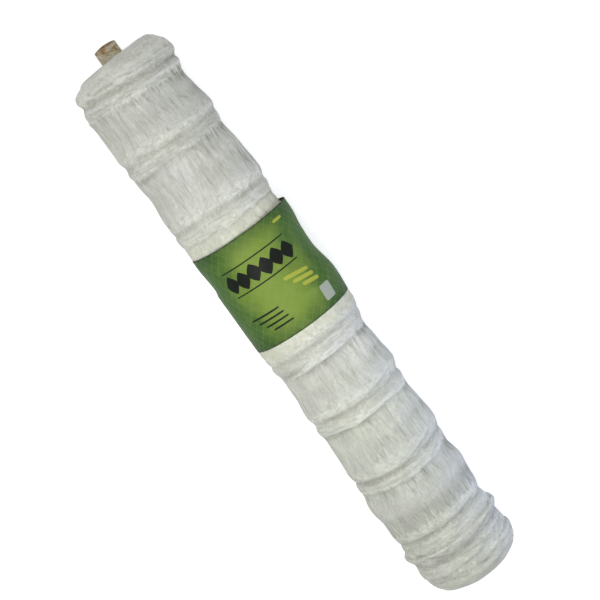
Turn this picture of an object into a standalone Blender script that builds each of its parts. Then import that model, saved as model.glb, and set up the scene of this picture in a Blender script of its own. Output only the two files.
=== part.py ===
"""Roll of plastic garden netting, wound on a paper core and held by a printed wrapper.

The roll lies on its side along X.  Its core sticks out of the -X end and the middle of
the wrapper faces up (+Z).  Units are metres.  Each piece is turned about its own Z axis
with the roll's first end on top, pressed out of round, and then laid down along X.
"""
from collections import namedtuple
from math import cos, pi, radians, sin

import bmesh
import bpy
import numpy as np

# ---- driving sizes -----------------------------------------------------------------
NET_WIDTH = 1.98            # width of the netting, so the length of the wound body
CORE_OUTER = 0.038          # radius of the paper core
CORE_WALL = 0.0055
CORE_PROUD = 0.051          # how far it sticks out of the first end; the second is flush
CORE_EDGE_WEAR = 0.005      # how far the proud rim is worn back on its two sides
CLEARANCE = 0.0004          # gap between pieces that touch
AROUND = 56                 # facets around each piece
LONGEST_FACET = 0.040       # along the roll

WRAPPER_START = 0.645       # the wrapper's two edges, along the roll
WRAPPER_END = 0.9915
WRAPPER_THICK = 0.0012
GRIP_START = 0.680          # the wrapper lies on the netting from here on
WRAPPER_LIFT = 0.0006       # its underside, above that of the netting
FLAT_DEPTH = 0.1605         # from the roll's axis down to its flat underside
EDGE_EASE = 0.006           # the netting's underside rises to the wrapper within this

BORE = CORE_OUTER + CLEARANCE
FACE_DISH = 0.006           # how far each end face dips in at the core
FIRST_SHOULDER = 0.050      # rounding of the two ends
SECOND_SHOULDER = 0.074
FIRST_RADIUS = 0.168        # radius of the body where each rounding starts
SECOND_RADIUS = 0.164
SHOULDER_STEPS = 5

# ---- wound form --------------------------------------------------------------------
# The net is gathered every 0.2 m or so.  At each gather the body swells to a crest, dips
# in a groove, rises again in a narrow ring, and steps down to the next smooth panel.
# at: the groove's place along the roll; lead: from the crest to the groove; crest,
# groove, ring, step: the radius at each; belly: the radius halfway along the panel that
# follows; slant: how much further along the gather lies on the +Y side than on top.
Gather = namedtuple("Gather", "at lead crest groove ring step belly slant")
GATHERS = (
    Gather(0.083, 0.026, 0.1710, 0.1655, 0.1690, 0.1640, 0.1660, 0.012),
    Gather(0.298, 0.034, 0.1720, 0.1675, 0.1690, 0.1645, 0.1665, 0.004),
    Gather(0.550, 0.034, 0.1710, 0.1675, 0.1690, 0.1640, 0.1640, 0.002),
    Gather(0.760, 0.080, 0.1730, 0.1660, 0.1670, 0.1670, 0.1745, 0.000),
    Gather(1.056, 0.040, 0.1710, 0.1660, 0.1640, 0.1540, 0.1590, -0.002),
    Gather(1.288, 0.038, 0.1670, 0.1600, 0.1620, 0.1570, 0.1620, -0.002),
    Gather(1.519, 0.040, 0.1680, 0.1605, 0.1620, 0.1570, 0.1695, 0.002),
    Gather(1.740, 0.040, 0.1585, 0.1540, 0.1570, 0.1610, 0.1600, -0.002),
    Gather(1.850, 0.038, 0.1720, 0.1580, 0.1610, 0.1630, 0.1630, -0.006),
)
RING_AFTER = 0.022          # from a groove on to its ring
STEP_AFTER = 0.045          # from a groove on to the step down
LEAST_PANEL = 0.040         # a panel shorter than this has no belly

# How far the section's middle lies towards +Y at each gather's crest, ring and belly.
Sway = namedtuple("Sway", "crest ring belly")
SWAYS = (
    Sway(-0.001, -0.007, -0.005),
    Sway(-0.001, -0.004, 0.003),
    Sway(0.003, -0.001, -0.001),
    Sway(0.006, 0.001, 0.008),
    Sway(0.004, 0.001, 0.003),
    Sway(0.003, -0.001, -0.001),
    Sway(0.000, -0.003, -0.003),
    Sway(-0.005, -0.006, -0.005),
    Sway(-0.004, -0.004, 0.003),
)

# Slow unevenness of the winding: height, waves in one turn, waves along the roll, phase.
Ripple = namedtuple("Ripple", "height around along phase")
RIPPLES = (
    Ripple(0.0014, 2, 3.1, 0.4),
    Ripple(0.0012, 3, -5.3, 1.9),
    Ripple(0.0010, 5, 8.7, 4.0),
    Ripple(0.0008, 8, -12.9, 2.6),
)
WRAPPED_RIPPLE = 0.4        # share of the unevenness left under the wrapper
WRAPPED_EASE = 0.05         # it fades to that share within this

# Single swellings and hollows: place along the roll, angle from the top towards +Y in
# degrees, height, and how far each reaches along the roll and around it in degrees.
Lump = namedtuple("Lump", "at angle height reach spread")
LUMPS = (
    Lump(0.015, 90, -0.010, 0.020, 60),
    Lump(0.004, -90, -0.012, 0.016, 60),
    Lump(0.028, -90, 0.005, 0.012, 60),
    Lump(0.012, 32, 0.008, 0.014, 16),
    Lump(0.121, -90, 0.006, 0.012, 14),
    Lump(0.082, 95, 0.008, 0.036, 50),
    Lump(1.600, -88, 0.004, 0.030, 45),
    Lump(1.800, 88, 0.004, 0.016, 30),
)


def smooth(share):
    """Ease from 0 to 1 with no slope at either end."""
    share = min(max(share, 0.0), 1.0)
    return share * share * (3.0 - 2.0 * share)


def body_stations():
    """Return place, radius and sway of each crest, groove, ring, step and belly."""
    body_end = NET_WIDTH - SECOND_SHOULDER
    stations = [(FIRST_SHOULDER, FIRST_RADIUS, SWAYS[0].crest)]
    for gather, sway, following in zip(GATHERS, SWAYS, GATHERS[1:] + (None,)):
        step = gather.at + STEP_AFTER
        panel_end = following.at - following.lead if following else body_end
        stations += [
            (gather.at - gather.lead, gather.crest, sway.crest),
            (gather.at, gather.groove, (sway.crest + sway.ring) / 2),
            (gather.at + RING_AFTER, gather.ring, sway.ring),
            (step, gather.step, sway.ring),
        ]
        if panel_end - step > LEAST_PANEL:
            stations.append(((step + panel_end) / 2, gather.belly, sway.belly))
    return np.array(stations + [(body_end, SECOND_RADIUS, SWAYS[-1].belly)])


STATIONS = body_stations()
SLANTS = np.array([(gather.at, gather.slant) for gather in GATHERS])


def wound_section(at):
    """Return the wound body's mean radius and sway at one place along the roll."""
    k = int(np.clip(np.searchsorted(STATIONS[:, 0], at) - 1, 0, len(STATIONS) - 2))
    before, after = STATIONS[k], STATIONS[k + 1]
    share = smooth((at - before[0]) / (after[0] - before[0]))
    return (before + (after - before) * share)[1:]


def between(at, start, end, ease):
    """Return 1 between start and end, easing to 0 within ease on either side."""
    return smooth((at - start) / ease + 1.0) * smooth((end - at) / ease + 1.0)


def unevenness(at, angle):
    """Return how far ripples and lumps raise the surface at one point."""
    height = sum(
        ripple.height
        * sin(ripple.around * angle + 2 * pi * ripple.along * at / NET_WIDTH + ripple.phase)
        for ripple in RIPPLES
    )
    wrapped = between(at, WRAPPER_START, WRAPPER_END, WRAPPED_EASE)
    height *= 1.0 - (1.0 - WRAPPED_RIPPLE) * wrapped
    for lump in LUMPS:
        turn = (angle - radians(lump.angle) + pi) % (2 * pi) - pi
        away = ((at - lump.at) / lump.reach) ** 2 + (turn / radians(lump.spread)) ** 2
        height += lump.height * float(np.exp(-away))
    return height


def wound_radius(at, angle):
    """Return the wound body's radius at a place along the roll and an angle round it."""
    side = sin(angle)
    slanted = at - np.interp(at, SLANTS[:, 0], SLANTS[:, 1]) * side
    radius, _ = wound_section(slanted)
    _, sway = wound_section(at)
    return radius + sway * side + unevenness(at, angle)


def shoulder(step, size, radius):
    """Return one point of an end's rounding as radius and distance from the end face."""
    turn = pi / 2 * step / SHOULDER_STEPS
    return radius - size * (1 - sin(turn)), size * (1 - cos(turn))


def ring_places(start, end):
    """Return where the rings of facets go from start to end, no two far apart."""
    named = [at for at in STATIONS[:, 0] if start < at < end]
    edges = [WRAPPER_START - EDGE_EASE, WRAPPER_START, GRIP_START, WRAPPER_END]
    edges.append(WRAPPER_END + EDGE_EASE)
    named += [at for at in edges if start < at < end]
    named = sorted({round(at, 4) for at in named + [start, end]})
    places = []
    for before, after in zip(named, named[1:]):
        count = max(1, round((after - before) / LONGEST_FACET))
        places += [before + (after - before) * k / count for k in range(count)]
    return places + [end]


def netting_outline():
    """Return the wound body's closed outline as radius and place along the roll."""
    first = [shoulder(k, FIRST_SHOULDER, FIRST_RADIUS) for k in range(SHOULDER_STEPS)]
    second = [shoulder(k, SECOND_SHOULDER, SECOND_RADIUS) for k in range(SHOULDER_STEPS)]
    dish = [(BORE, FACE_DISH), (2 * BORE, FACE_DISH / 3)]
    middle = [
        (wound_section(at)[0], at)
        for at in ring_places(FIRST_SHOULDER, NET_WIDTH - SECOND_SHOULDER)
    ]
    far_end = [(radius, NET_WIDTH - inset) for radius, inset in second[::-1] + dish[::-1]]
    return dish + first + middle + far_end


def core_outline():
    """Return the core's closed outline as radius and place along the roll."""
    inner, chamfer = CORE_OUTER - CORE_WALL, CORE_WALL / 4
    first, last = -CORE_PROUD, NET_WIDTH
    return [
        (inner, first),
        (CORE_OUTER - chamfer, first),
        (CORE_OUTER, first + chamfer),
        (CORE_OUTER, last - chamfer),
        (CORE_OUTER - chamfer, last),
        (inner, last),
    ]


# ---- making ------------------------------------------------------------------------
def clear_scene():
    """Remove every object, so that the script can be run again."""
    for old in list(bpy.data.objects):
        bpy.data.objects.remove(old, do_unlink=True)


def material(name, color, roughness):
    """Return a Principled material of one colour."""
    made = bpy.data.materials.new(name)
    made.use_nodes = True
    shader = made.node_tree.nodes["Principled BSDF"]
    shader.inputs["Base Color"].default_value = (*color, 1.0)
    shader.inputs["Roughness"].default_value = roughness
    return made


def turned(name, outline, closed, collection, finish):
    """Turn an outline about Z with a Screw modifier, and return it as a plain mesh."""
    count = len(outline)
    edges = [(k, (k + 1) % count) for k in range(count if closed else count - 1)]
    mesh = bpy.data.meshes.new(name)
    mesh.from_pydata([(radius, 0.0, -at) for radius, at in outline], edges, [])
    guide = bpy.data.objects.new(name + "_outline", mesh)
    bpy.context.scene.collection.objects.link(guide)
    screw = guide.modifiers.new("Turn", "SCREW")
    screw.steps = screw.render_steps = AROUND
    screw.use_merge_vertices = True
    screw.merge_threshold = 0.00001
    bpy.context.view_layer.update()
    evaluated = guide.evaluated_get(bpy.context.evaluated_depsgraph_get())
    body = bpy.data.meshes.new_from_object(evaluated)
    bpy.data.objects.remove(guide, do_unlink=True)
    bpy.data.meshes.remove(mesh)
    body.name = name
    body.materials.clear()
    body.materials.append(finish)
    piece = bpy.data.objects.new(name, body)
    collection.objects.link(piece)
    return piece


def press(piece, moved):
    """Move each vertex, given as radius, angle and place along the roll."""
    shape = bmesh.new()
    shape.from_mesh(piece.data)
    for vertex in shape.verts:
        x, y, z = vertex.co
        vertex.co = moved(float(np.hypot(x, y)), float(np.arctan2(y, x)), -z)
    shape.to_mesh(piece.data)
    shape.free()
    piece.data.shade_smooth()
    piece.data.set_sharp_from_angle(angle=radians(50))


def point(radius, angle, at, depth):
    """Return a vertex, kept above a flat underside that lies depth below the axis."""
    return max(radius * cos(angle), -depth), radius * sin(angle), -at


def netting_vertex(radius, angle, at):
    """Press the wound body out of round, more the further out it is."""
    along = min(max(at, 0.0), NET_WIDTH)
    share = smooth((radius - BORE) / (FIRST_RADIUS - FIRST_SHOULDER - BORE))
    pressed = radius + share * (wound_radius(along, angle) - wound_section(along)[0])
    wrapped = between(at, WRAPPER_START, WRAPPER_END, EDGE_EASE)
    lift = (WRAPPER_LIFT + WRAPPER_THICK + CLEARANCE) * wrapped
    return point(pressed, angle, at, FLAT_DEPTH - lift)


def wrapper_vertex(_radius, angle, at):
    """Lay the wrapper's inner face on the netting, straight where it stands clear."""
    radius = wound_radius(max(at, GRIP_START), angle) + CLEARANCE
    return point(radius, angle, at, FLAT_DEPTH - WRAPPER_LIFT - WRAPPER_THICK)


def core_vertex(radius, angle, at):
    """Wear the two sides of the core's proud rim back."""
    worn = CORE_EDGE_WEAR * sin(angle) ** 2 if at < 0 else 0.0
    return point(radius, angle, at + worn, FLAT_DEPTH)


def make_netting(collection):
    """Make the wound body of netting, bored for the core."""
    finish = material("netting", (0.79, 0.81, 0.77), 0.55)
    netting = turned("netting", netting_outline(), True, collection, finish)
    press(netting, netting_vertex)
    return netting


def make_core(collection):
    """Make the paper core."""
    finish = material("core_paper", (0.46, 0.30, 0.14), 0.85)
    core = turned("core_tube", core_outline(), True, collection, finish)
    press(core, core_vertex)
    return core


def make_wrapper(collection):
    """Make the wrapper, a sheet laid around the netting."""
    finish = material("wrapper_green", (0.16, 0.33, 0.07), 0.4)
    outline = [(CORE_OUTER, at) for at in ring_places(WRAPPER_START, WRAPPER_END)]
    wrapper = turned("wrapper", outline, False, collection, finish)
    press(wrapper, wrapper_vertex)
    sheet = wrapper.modifiers.new("Sheet", "SOLIDIFY")
    sheet.thickness = WRAPPER_THICK
    sheet.offset = 1.0
    sheet.use_even_offset = True
    return wrapper


def lay_down(pieces, collection):
    """Lay the pieces along X, with the flat underside at z = 0 and the box centred."""
    sides = [vertex.co.y for piece in pieces for vertex in piece.data.vertices]
    roll = bpy.data.objects.new("roll", None)
    collection.objects.link(roll)
    roll.location = (
        -(NET_WIDTH - CORE_PROUD) / 2,
        -(min(sides) + max(sides)) / 2,
        FLAT_DEPTH,
    )
    for piece in pieces:
        piece.parent = roll
        piece.rotation_euler = (0.0, -pi / 2, 0.0)


def main():
    """Build the roll."""
    clear_scene()
    collection = bpy.data.collections.new("netting_roll")
    bpy.context.scene.collection.children.link(collection)
    pieces = [make_netting(collection), make_core(collection), make_wrapper(collection)]
    lay_down(pieces, collection)


main()
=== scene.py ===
"""Looks of a roll of plastic garden netting on a paper core, held by a green wrapper.

The wound body follows the same kind of tables as the solids that it dresses, with the
winding's fine relief added; the rings, creases and lumps, and where the eighth gather
lies, are its own.  Lengths are metres.  "At" is a place along the roll from the face where
the core sticks out, and "angle" runs from the top towards +Y.
"""
from __future__ import annotations

import logging
import math
from dataclasses import asdict, dataclass, replace
from enum import Enum
from typing import NamedTuple, Union

import bpy
import numpy as np
from mathutils import Matrix, Vector


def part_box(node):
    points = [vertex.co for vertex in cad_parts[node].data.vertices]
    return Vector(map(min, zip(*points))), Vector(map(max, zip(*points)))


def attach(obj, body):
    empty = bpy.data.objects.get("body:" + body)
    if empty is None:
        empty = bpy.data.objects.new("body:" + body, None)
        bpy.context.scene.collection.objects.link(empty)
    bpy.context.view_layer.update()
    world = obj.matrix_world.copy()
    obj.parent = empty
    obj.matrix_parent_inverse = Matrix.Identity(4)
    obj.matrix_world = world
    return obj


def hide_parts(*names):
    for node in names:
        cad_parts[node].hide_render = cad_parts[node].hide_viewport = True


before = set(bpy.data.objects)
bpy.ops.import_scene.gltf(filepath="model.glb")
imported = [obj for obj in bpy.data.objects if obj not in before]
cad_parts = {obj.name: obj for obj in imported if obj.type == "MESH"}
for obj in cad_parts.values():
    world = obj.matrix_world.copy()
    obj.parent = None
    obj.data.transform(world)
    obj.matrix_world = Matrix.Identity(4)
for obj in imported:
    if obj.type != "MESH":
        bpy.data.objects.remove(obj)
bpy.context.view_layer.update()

LOG = logging.getLogger("netting_roll")
BODY = "root"
TURN = 2 * math.pi
PLY_PITCH = 0.072           # along the core, from one turn of its paper to the next
UNDER_WRAPPER = 3           # the number of the gather that the wrapper hides

Socket = bpy.types.NodeSocket
Piece = bpy.types.Object
Mesh = bpy.types.Mesh
Material = bpy.types.Material
Value = Union[float, int, tuple, Socket]
Rows = np.ndarray


# ---- the wound body's form -----------------------------------------------------------
class Gather(NamedTuple):
    """One gathered band: its groove's place, and the radius at each part of it."""

    at: float
    lead: float
    crest: float
    groove: float
    ring: float
    step: float
    belly: float
    slant: float


class Sway(NamedTuple):
    """How far the section's middle lies towards +Y at a crest, a ring and a belly."""

    crest: float
    ring: float
    belly: float


class Ring(NamedTuple):
    """How a gather's ring of hoop strands ends and how clearly it shows, from 0 to 1: in its
    height, in the painted shade at its foot and in the painted highlight along its rim.

    It shows more clearly on its -Y side by lean; groove is the groove's share of its depth and
    of its painted shade.
    """

    step_after: float
    show: float
    lean: float = 0.0
    groove: float = 1.0


class Crease(NamedTuple):
    """One fold across the surface, and how strongly the shade painted into it shows.

    Angle and spread are in degrees.  A depth below 0 raises a welt, which is painted with a highlight of
    that strength instead.
    """

    at: float
    angle: float
    spread: float
    reach: float
    depth: float
    slant: float
    shade: float = 0.75


class Ripple(NamedTuple):
    """One slow wave of unevenness."""

    height: float
    around: int
    along: float
    phase: float


class Lump(NamedTuple):
    """One single swelling or dip; angle and spread are in degrees."""

    at: float
    angle: float
    height: float
    reach: float
    spread: float


GATHERS = (
    Gather(0.083, 0.026, 0.1710, 0.1655, 0.1690, 0.1640, 0.1660, 0.012),
    Gather(0.298, 0.034, 0.1720, 0.1675, 0.1690, 0.1645, 0.1665, 0.004),
    Gather(0.550, 0.034, 0.1710, 0.1675, 0.1690, 0.1640, 0.1640, 0.002),
    Gather(0.760, 0.080, 0.1730, 0.1660, 0.1670, 0.1670, 0.1745, 0.000),
    Gather(1.056, 0.040, 0.1710, 0.1660, 0.1640, 0.1540, 0.1590, -0.002),
    Gather(1.288, 0.038, 0.1670, 0.1600, 0.1620, 0.1570, 0.1620, -0.002),
    Gather(1.519, 0.040, 0.1680, 0.1605, 0.1620, 0.1570, 0.1695, 0.002),
    Gather(1.762, 0.038, 0.1595, 0.1540, 0.1570, 0.1610, 0.1600, -0.002),
    Gather(1.850, 0.038, 0.1720, 0.1580, 0.1610, 0.1630, 0.1630, -0.006),
)
SWAYS = (
    Sway(-0.001, -0.007, -0.005),
    Sway(-0.001, -0.004, 0.003),
    Sway(0.003, -0.001, -0.001),
    Sway(0.006, 0.001, 0.008),
    Sway(0.004, 0.001, 0.003),
    Sway(0.003, -0.001, -0.001),
    Sway(0.000, -0.003, -0.003),
    Sway(-0.005, -0.006, -0.005),
    Sway(-0.004, -0.004, 0.003),
)
RINGS = (
    Ring(0.050, 0.25, 0.6),
    Ring(0.047, 0.75, 0.6),
    Ring(0.049, 0.50, 0.0, 0.7),
    Ring(0.045, 0.00),
    Ring(0.054, 0.78),
    Ring(0.047, 0.95, 0.2),
    Ring(0.040, 0.55, 0.0),
    Ring(0.034, 0.35),
    Ring(0.045, 0.05),
)
# Creases get painted shade, welts (depth below 0) painted highlights; small depths with wide reaches
# make broad painted patches.
CREASES = (
    Crease(0.055, -28.0, 15.0, 0.0050, 0.0032, 0.001, 1.0),
    Crease(0.060, 3.0, 9.0, 0.0038, 0.0026, 0.006, 0.9),
    Crease(0.070, 34.0, 22.0, 0.0070, 0.0030, 0.004, 0.9),
    Crease(0.084, 36.0, 34.0, 0.0080, 0.0020, 0.004, 0.9),
    Crease(0.078, 8.0, 14.0, 0.0040, 0.0026, 0.010),
    Crease(0.036, -30.0, 22.0, 0.0060, 0.0022, -0.008, 0.3),
    Crease(0.026, 25.0, 22.0, 0.0060, 0.0020, 0.010, 0.25),
    Crease(0.064, -52.0, 14.0, 0.0060, 0.0026, 0.004, 1.0),
    Crease(0.107, 10.0, 50.0, 0.0060, 0.0010, -0.004, 0.4),
    Crease(0.286, 6.0, 60.0, 0.0100, 0.0008, 0.006, 0.35),
    Crease(0.318, 52.0, 30.0, 0.0300, 0.0006, 0.000, 0.35),
    Crease(0.352, -48.0, 22.0, 0.0080, 0.0014, -0.003, 0.7),
    Crease(1.098, -55.0, 24.0, 0.0090, 0.0026, -0.004, 1.0),
    Crease(1.340, -52.0, 22.0, 0.0070, 0.0014, -0.004, 0.7),
    Crease(1.520, -52.0, 26.0, 0.0180, 0.0010, -0.004, 0.4),
    Crease(1.500, 32.0, 22.0, 0.0040, 0.0030, -0.012, 0.8),
    Crease(1.268, 30.0, 20.0, 0.0040, 0.0024, -0.010),
    Crease(1.676, 4.0, 62.0, 0.0300, 0.0018, -0.004, 0.6),
    Crease(1.434, 14.0, 56.0, 0.0340, 0.0008, -0.004, 0.25),
    Crease(1.752, 30.0, 24.0, 0.0045, 0.0030, -0.010, 0.9),
    Crease(1.822, -38.0, 24.0, 0.0050, 0.0040, 0.027, 1.0),
    Crease(1.834, 24.0, 38.0, 0.0045, 0.0036, -0.030, 1.0),
    Crease(1.866, 6.0, 34.0, 0.0050, 0.0030, 0.010, 0.9),
    Crease(1.800, -62.0, 16.0, 0.0045, 0.0028, 0.020, 0.8),
    Crease(1.892, -6.0, 26.0, 0.0050, 0.0026, -0.006, 0.6),
    Crease(1.918, 16.0, 18.0, 0.0040, 0.0024, -0.010, 0.6),
    Crease(1.925, -24.0, 14.0, 0.0040, 0.0022, 0.006, 0.6),
    Crease(1.948, 20.0, 22.0, 0.0060, 0.0018, -0.006, 0.5),
    Crease(0.272, 46.0, 30.0, 0.0220, 0.0006, 0.003, 0.35),
    Crease(0.165, -50.0, 24.0, 0.0450, 0.0003, 0.000, 0.22),
    Crease(1.600, 24.0, 22.0, 0.0350, 0.0004, 0.000, 0.30),
    Crease(1.176, 52.0, 30.0, 0.0450, -0.0002, 0.000, 0.9),
    Crease(1.405, 52.0, 30.0, 0.0400, -0.0002, 0.000, 0.8),
    Crease(0.014, -22.0, 24.0, 0.0055, -0.0012, -0.005, 0.8),
    Crease(0.045, -12.0, 20.0, 0.0050, -0.0012, 0.004, 0.7),
    Crease(0.050, 24.0, 18.0, 0.0050, -0.0010, 0.006, 0.6),
    Crease(0.036, 44.0, 16.0, 0.0060, -0.0010, 0.006, 0.6),
    Crease(1.776, -24.0, 20.0, 0.0050, -0.0016, 0.006, 0.8),
    Crease(1.788, 24.0, 20.0, 0.0050, -0.0014, -0.008, 0.8),
    Crease(1.862, -38.0, 16.0, 0.0050, -0.0014, 0.008, 0.7),
    Crease(1.880, 12.0, 24.0, 0.0045, -0.0016, -0.004, 0.9),
    Crease(1.902, 30.0, 16.0, 0.0045, -0.0014, -0.012, 0.9),
    Crease(1.908, -14.0, 18.0, 0.0050, -0.0014, 0.006, 0.7),
    Crease(1.936, -4.0, 20.0, 0.0050, -0.0012, 0.004, 0.7),
)
RIPPLES = (
    Ripple(0.0014, 2, 3.1, 0.4),
    Ripple(0.0012, 3, -5.3, 1.9),
    Ripple(0.0010, 5, 8.7, 4.0),
    Ripple(0.0008, 8, -12.9, 2.6),
)
LUMPS = (
    Lump(0.015, 90, -0.010, 0.020, 60),
    Lump(0.004, -90, -0.012, 0.016, 60),
    Lump(0.028, -90, 0.005, 0.012, 60),
    Lump(0.012, 32, 0.008, 0.014, 16),
    Lump(0.121, -90, 0.006, 0.012, 14),
    Lump(0.082, 95, 0.008, 0.036, 50),
    Lump(1.600, -88, 0.004, 0.030, 45),
    Lump(1.800, 88, 0.004, 0.016, 30),
    Lump(0.160, 90, -0.006, 0.024, 36),
    Lump(0.345, 90, -0.006, 0.030, 36),
    Lump(0.425, -90, -0.006, 0.070, 36),
    Lump(0.600, 90, -0.007, 0.028, 36),
    Lump(1.093, 90, -0.006, 0.026, 36),
    Lump(1.672, -88, -0.006, 0.026, 46),
    Lump(1.672, 88, -0.005, 0.026, 40),
)


def smooth(share: Rows) -> Rows:
    """Ease from 0 to 1 with no slope at either end."""
    share = np.clip(share, 0.0, 1.0)
    return share * share * (3.0 - 2.0 * share)


def between(at: Rows, start: float, end: float, ease: float) -> Rows:
    """Give 1 between start and end, easing to 0 within ease on either side."""
    return smooth((at - start) / ease + 1.0) * smooth((end - at) / ease + 1.0)


def bell(away: Rows, reach: float) -> Rows:
    """Give 1 where away is 0, fading smoothly to almost 0 at twice the reach."""
    return np.exp(-((away / reach) ** 2))


def turns_from(angle: Rows, degrees: float) -> Rows:
    """Return how far angles are from one given in degrees, from -pi to pi."""
    return (angle - math.radians(degrees) + math.pi) % TURN - math.pi


def all_round(columns: int) -> Rows:
    """Return evenly spaced angles around the roll, as one row."""
    return np.linspace(0.0, TURN, columns, endpoint=False)[None, :]


@dataclass(frozen=True)
class Unevenness:
    """Smooth random heights on a cylinder, closed around it."""

    seed: int
    around: int
    along: int

    def __call__(self, share: Rows, angle: Rows) -> Rows:
        """Read heights from about -1 to 1.

        Args:
            share: place along the roll, from 0 to 1.
            angle: angle around it, in radians.

        Returns:
            One height for each place.
        """
        grid = np.random.default_rng(self.seed).uniform(
            -1.0, 1.0, (self.along + 4, self.around)
        )
        rows = np.clip(share, 0.0, 1.0) * self.along
        columns = (angle / TURN) % 1.0 * self.around
        row, column = np.floor(rows).astype(int), np.floor(columns).astype(int)
        down = self._weights(rows - row)
        across = self._weights(columns - column)
        total = np.zeros(np.broadcast(rows, columns).shape)
        for i in range(4):
            for j in range(4):
                height = grid[row + i, (column + j - 1) % self.around]
                total = total + down[i] * across[j] * height
        return 1.8 * total

    @staticmethod
    def _weights(t: Rows) -> list[Rows]:
        """Give the four weights of a cubic B-spline.

        Args:
            t: how far each place is past a point of the grid, from 0 to 1.

        Returns:
            The weights of the points around it.
        """
        return [
            (1 - t) ** 3 / 6,
            (3 * t**3 - 6 * t**2 + 4) / 6,
            (-3 * t**3 + 3 * t**2 + 3 * t + 1) / 6,
            t**3 / 6,
        ]


@dataclass(frozen=True)
class RollSizes:
    """Driving sizes of the roll, as the solids have them."""

    width: float = 1.98
    core_outer: float = 0.038
    core_wall: float = 0.0055
    core_proud: float = 0.051
    edge_wear: float = 0.005
    clearance: float = 0.0004
    wrapper_start: float = 0.645
    wrapper_end: float = 0.9915
    grip_start: float = 0.680
    wrapper_lift: float = 0.0006
    flat_depth: float = 0.1605
    face_dish: float = 0.006
    first_shoulder: float = 0.050
    second_shoulder: float = 0.074
    first_radius: float = 0.168
    second_radius: float = 0.164
    ring_after: float = 0.022
    step_after: float = 0.045
    least_panel: float = 0.040

    @property
    def bore(self) -> float:
        """Radius of the hole through the wound body."""
        return self.core_outer + self.clearance


class WoundForm:
    """The wound body's shape, before any fine relief."""

    calmed = 0.6                # how much the wrapper flattens the ripples under it
    calm_ease = 0.05

    def __init__(self, sizes: RollSizes) -> None:
        """Work out the stations of every crest, groove, ring, step and belly.

        Args:
            sizes: the roll's driving sizes.
        """
        self.sizes = sizes
        self.stations = self._stations()
        self.slants = np.array([(gather.at, gather.slant) for gather in GATHERS])
        low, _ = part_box("netting")
        core_low, core_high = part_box("core_tube")
        middle = (core_low + core_high) / 2
        self.origin = Vector((low.x, middle.y, middle.z))

    def _stations(self) -> Rows:
        """Work out the named stations along the roll.

        Returns:
            Place, radius and sway of each station.
        """
        sizes = self.sizes
        body_end = sizes.width - sizes.second_shoulder
        stations = [(sizes.first_shoulder, sizes.first_radius, SWAYS[0].crest)]
        for gather, sway, after in zip(GATHERS, SWAYS, GATHERS[1:] + (None,)):
            step = gather.at + sizes.step_after
            panel_end = after.at - after.lead if after else body_end
            stations += [
                (gather.at - gather.lead, gather.crest, sway.crest),
                (gather.at, gather.groove, (sway.crest + sway.ring) / 2),
                (gather.at + sizes.ring_after, gather.ring, sway.ring),
                (step, gather.step, sway.ring),
            ]
            if panel_end - step > sizes.least_panel:
                stations.append(((step + panel_end) / 2, gather.belly, sway.belly))
        stations.append((body_end, sizes.second_radius, SWAYS[-1].belly))
        return np.array(stations)

    def section(self, at: Rows) -> tuple[Rows, Rows]:
        """Read the section's size between the stations.

        Args:
            at: places along the roll.

        Returns:
            The mean radius and the sway at each place.
        """
        at = np.asarray(at, float)
        last = len(self.stations) - 2
        k = np.clip(np.searchsorted(self.stations[:, 0], at) - 1, 0, last)
        before, after = self.stations[k], self.stations[k + 1]
        share = smooth((at - before[..., 0]) / (after[..., 0] - before[..., 0]))
        found = before + (after - before) * share[..., None]
        return found[..., 1], found[..., 2]

    def slant(self, at: Rows) -> Rows:
        """Return how much further along a gather lies on its +Y side."""
        return np.interp(at, self.slants[:, 0], self.slants[:, 1])

    def wrapped(self, at: Rows, ease: float) -> Rows:
        """Give 1 under the wrapper and 0 beyond ease of its edges."""
        return between(at, self.sizes.wrapper_start, self.sizes.wrapper_end, ease)

    def uneven(self, at: Rows, angle: Rows) -> Rows:
        """Add up the ripples and lumps.

        Args:
            at: places along the roll.
            angle: angles around it.

        Returns:
            How far they raise the surface.
        """
        height = 0.0
        for ripple in RIPPLES:
            along = TURN * ripple.along * at / self.sizes.width
            height = height + ripple.height * np.sin(ripple.around * angle + along + ripple.phase)
        height = height * (1.0 - self.calmed * self.wrapped(at, self.calm_ease))
        for lump in LUMPS:
            around = bell(turns_from(angle, lump.angle), math.radians(lump.spread))
            height = height + lump.height * bell(at - lump.at, lump.reach) * around
        return height

    def radius(self, at: Rows, angle: Rows) -> Rows:
        """Work out the body's radius.

        Args:
            at: places along the roll.
            angle: angles around it.

        Returns:
            The radius at each point.
        """
        side = np.sin(angle)
        radius, _ = self.section(at - self.slant(at) * side)
        _, sway = self.section(at)
        return radius + sway * side + self.uneven(at, angle)

    def place(self, radius: Rows, angle: Rows, at: Rows, depth: Rows) -> Rows:
        """Turn cylindrical places into points.

        Args:
            radius: distances from the roll's axis.
            angle: angles around it.
            at: places along it.
            depth: how far below the axis the flat underside is.

        Returns:
            The points, kept above the flat underside.
        """
        height = np.maximum(radius * np.cos(angle), -depth)
        points = np.stack([at + 0.0 * angle, radius * np.sin(angle), height], axis=-1)
        return points + np.array(self.origin)


# ---- meshes --------------------------------------------------------------------------
def plain_mesh(name: str, places: Rows, corners: Rows, starts: Rows) -> Piece:
    """Make a smooth mesh object from flat lists.

    Args:
        name: the object's name.
        places: every point's three numbers.
        corners: the point at every corner of every face.
        starts: each face's first corner.

    Returns:
        The new object, linked to the scene.
    """
    mesh = bpy.data.meshes.new(name)
    mesh.vertices.add(len(places) // 3)
    mesh.vertices.foreach_set("co", places.astype(np.float32))
    mesh.loops.add(len(corners))
    mesh.loops.foreach_set("vertex_index", corners.astype(np.int32))
    mesh.polygons.add(len(starts))
    mesh.polygons.foreach_set("loop_start", starts.astype(np.int32))
    mesh.update(calc_edges=True)
    mesh.validate()
    mesh.shade_smooth()
    made = bpy.data.objects.new(name, mesh)
    bpy.context.scene.collection.objects.link(made)
    return made


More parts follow.
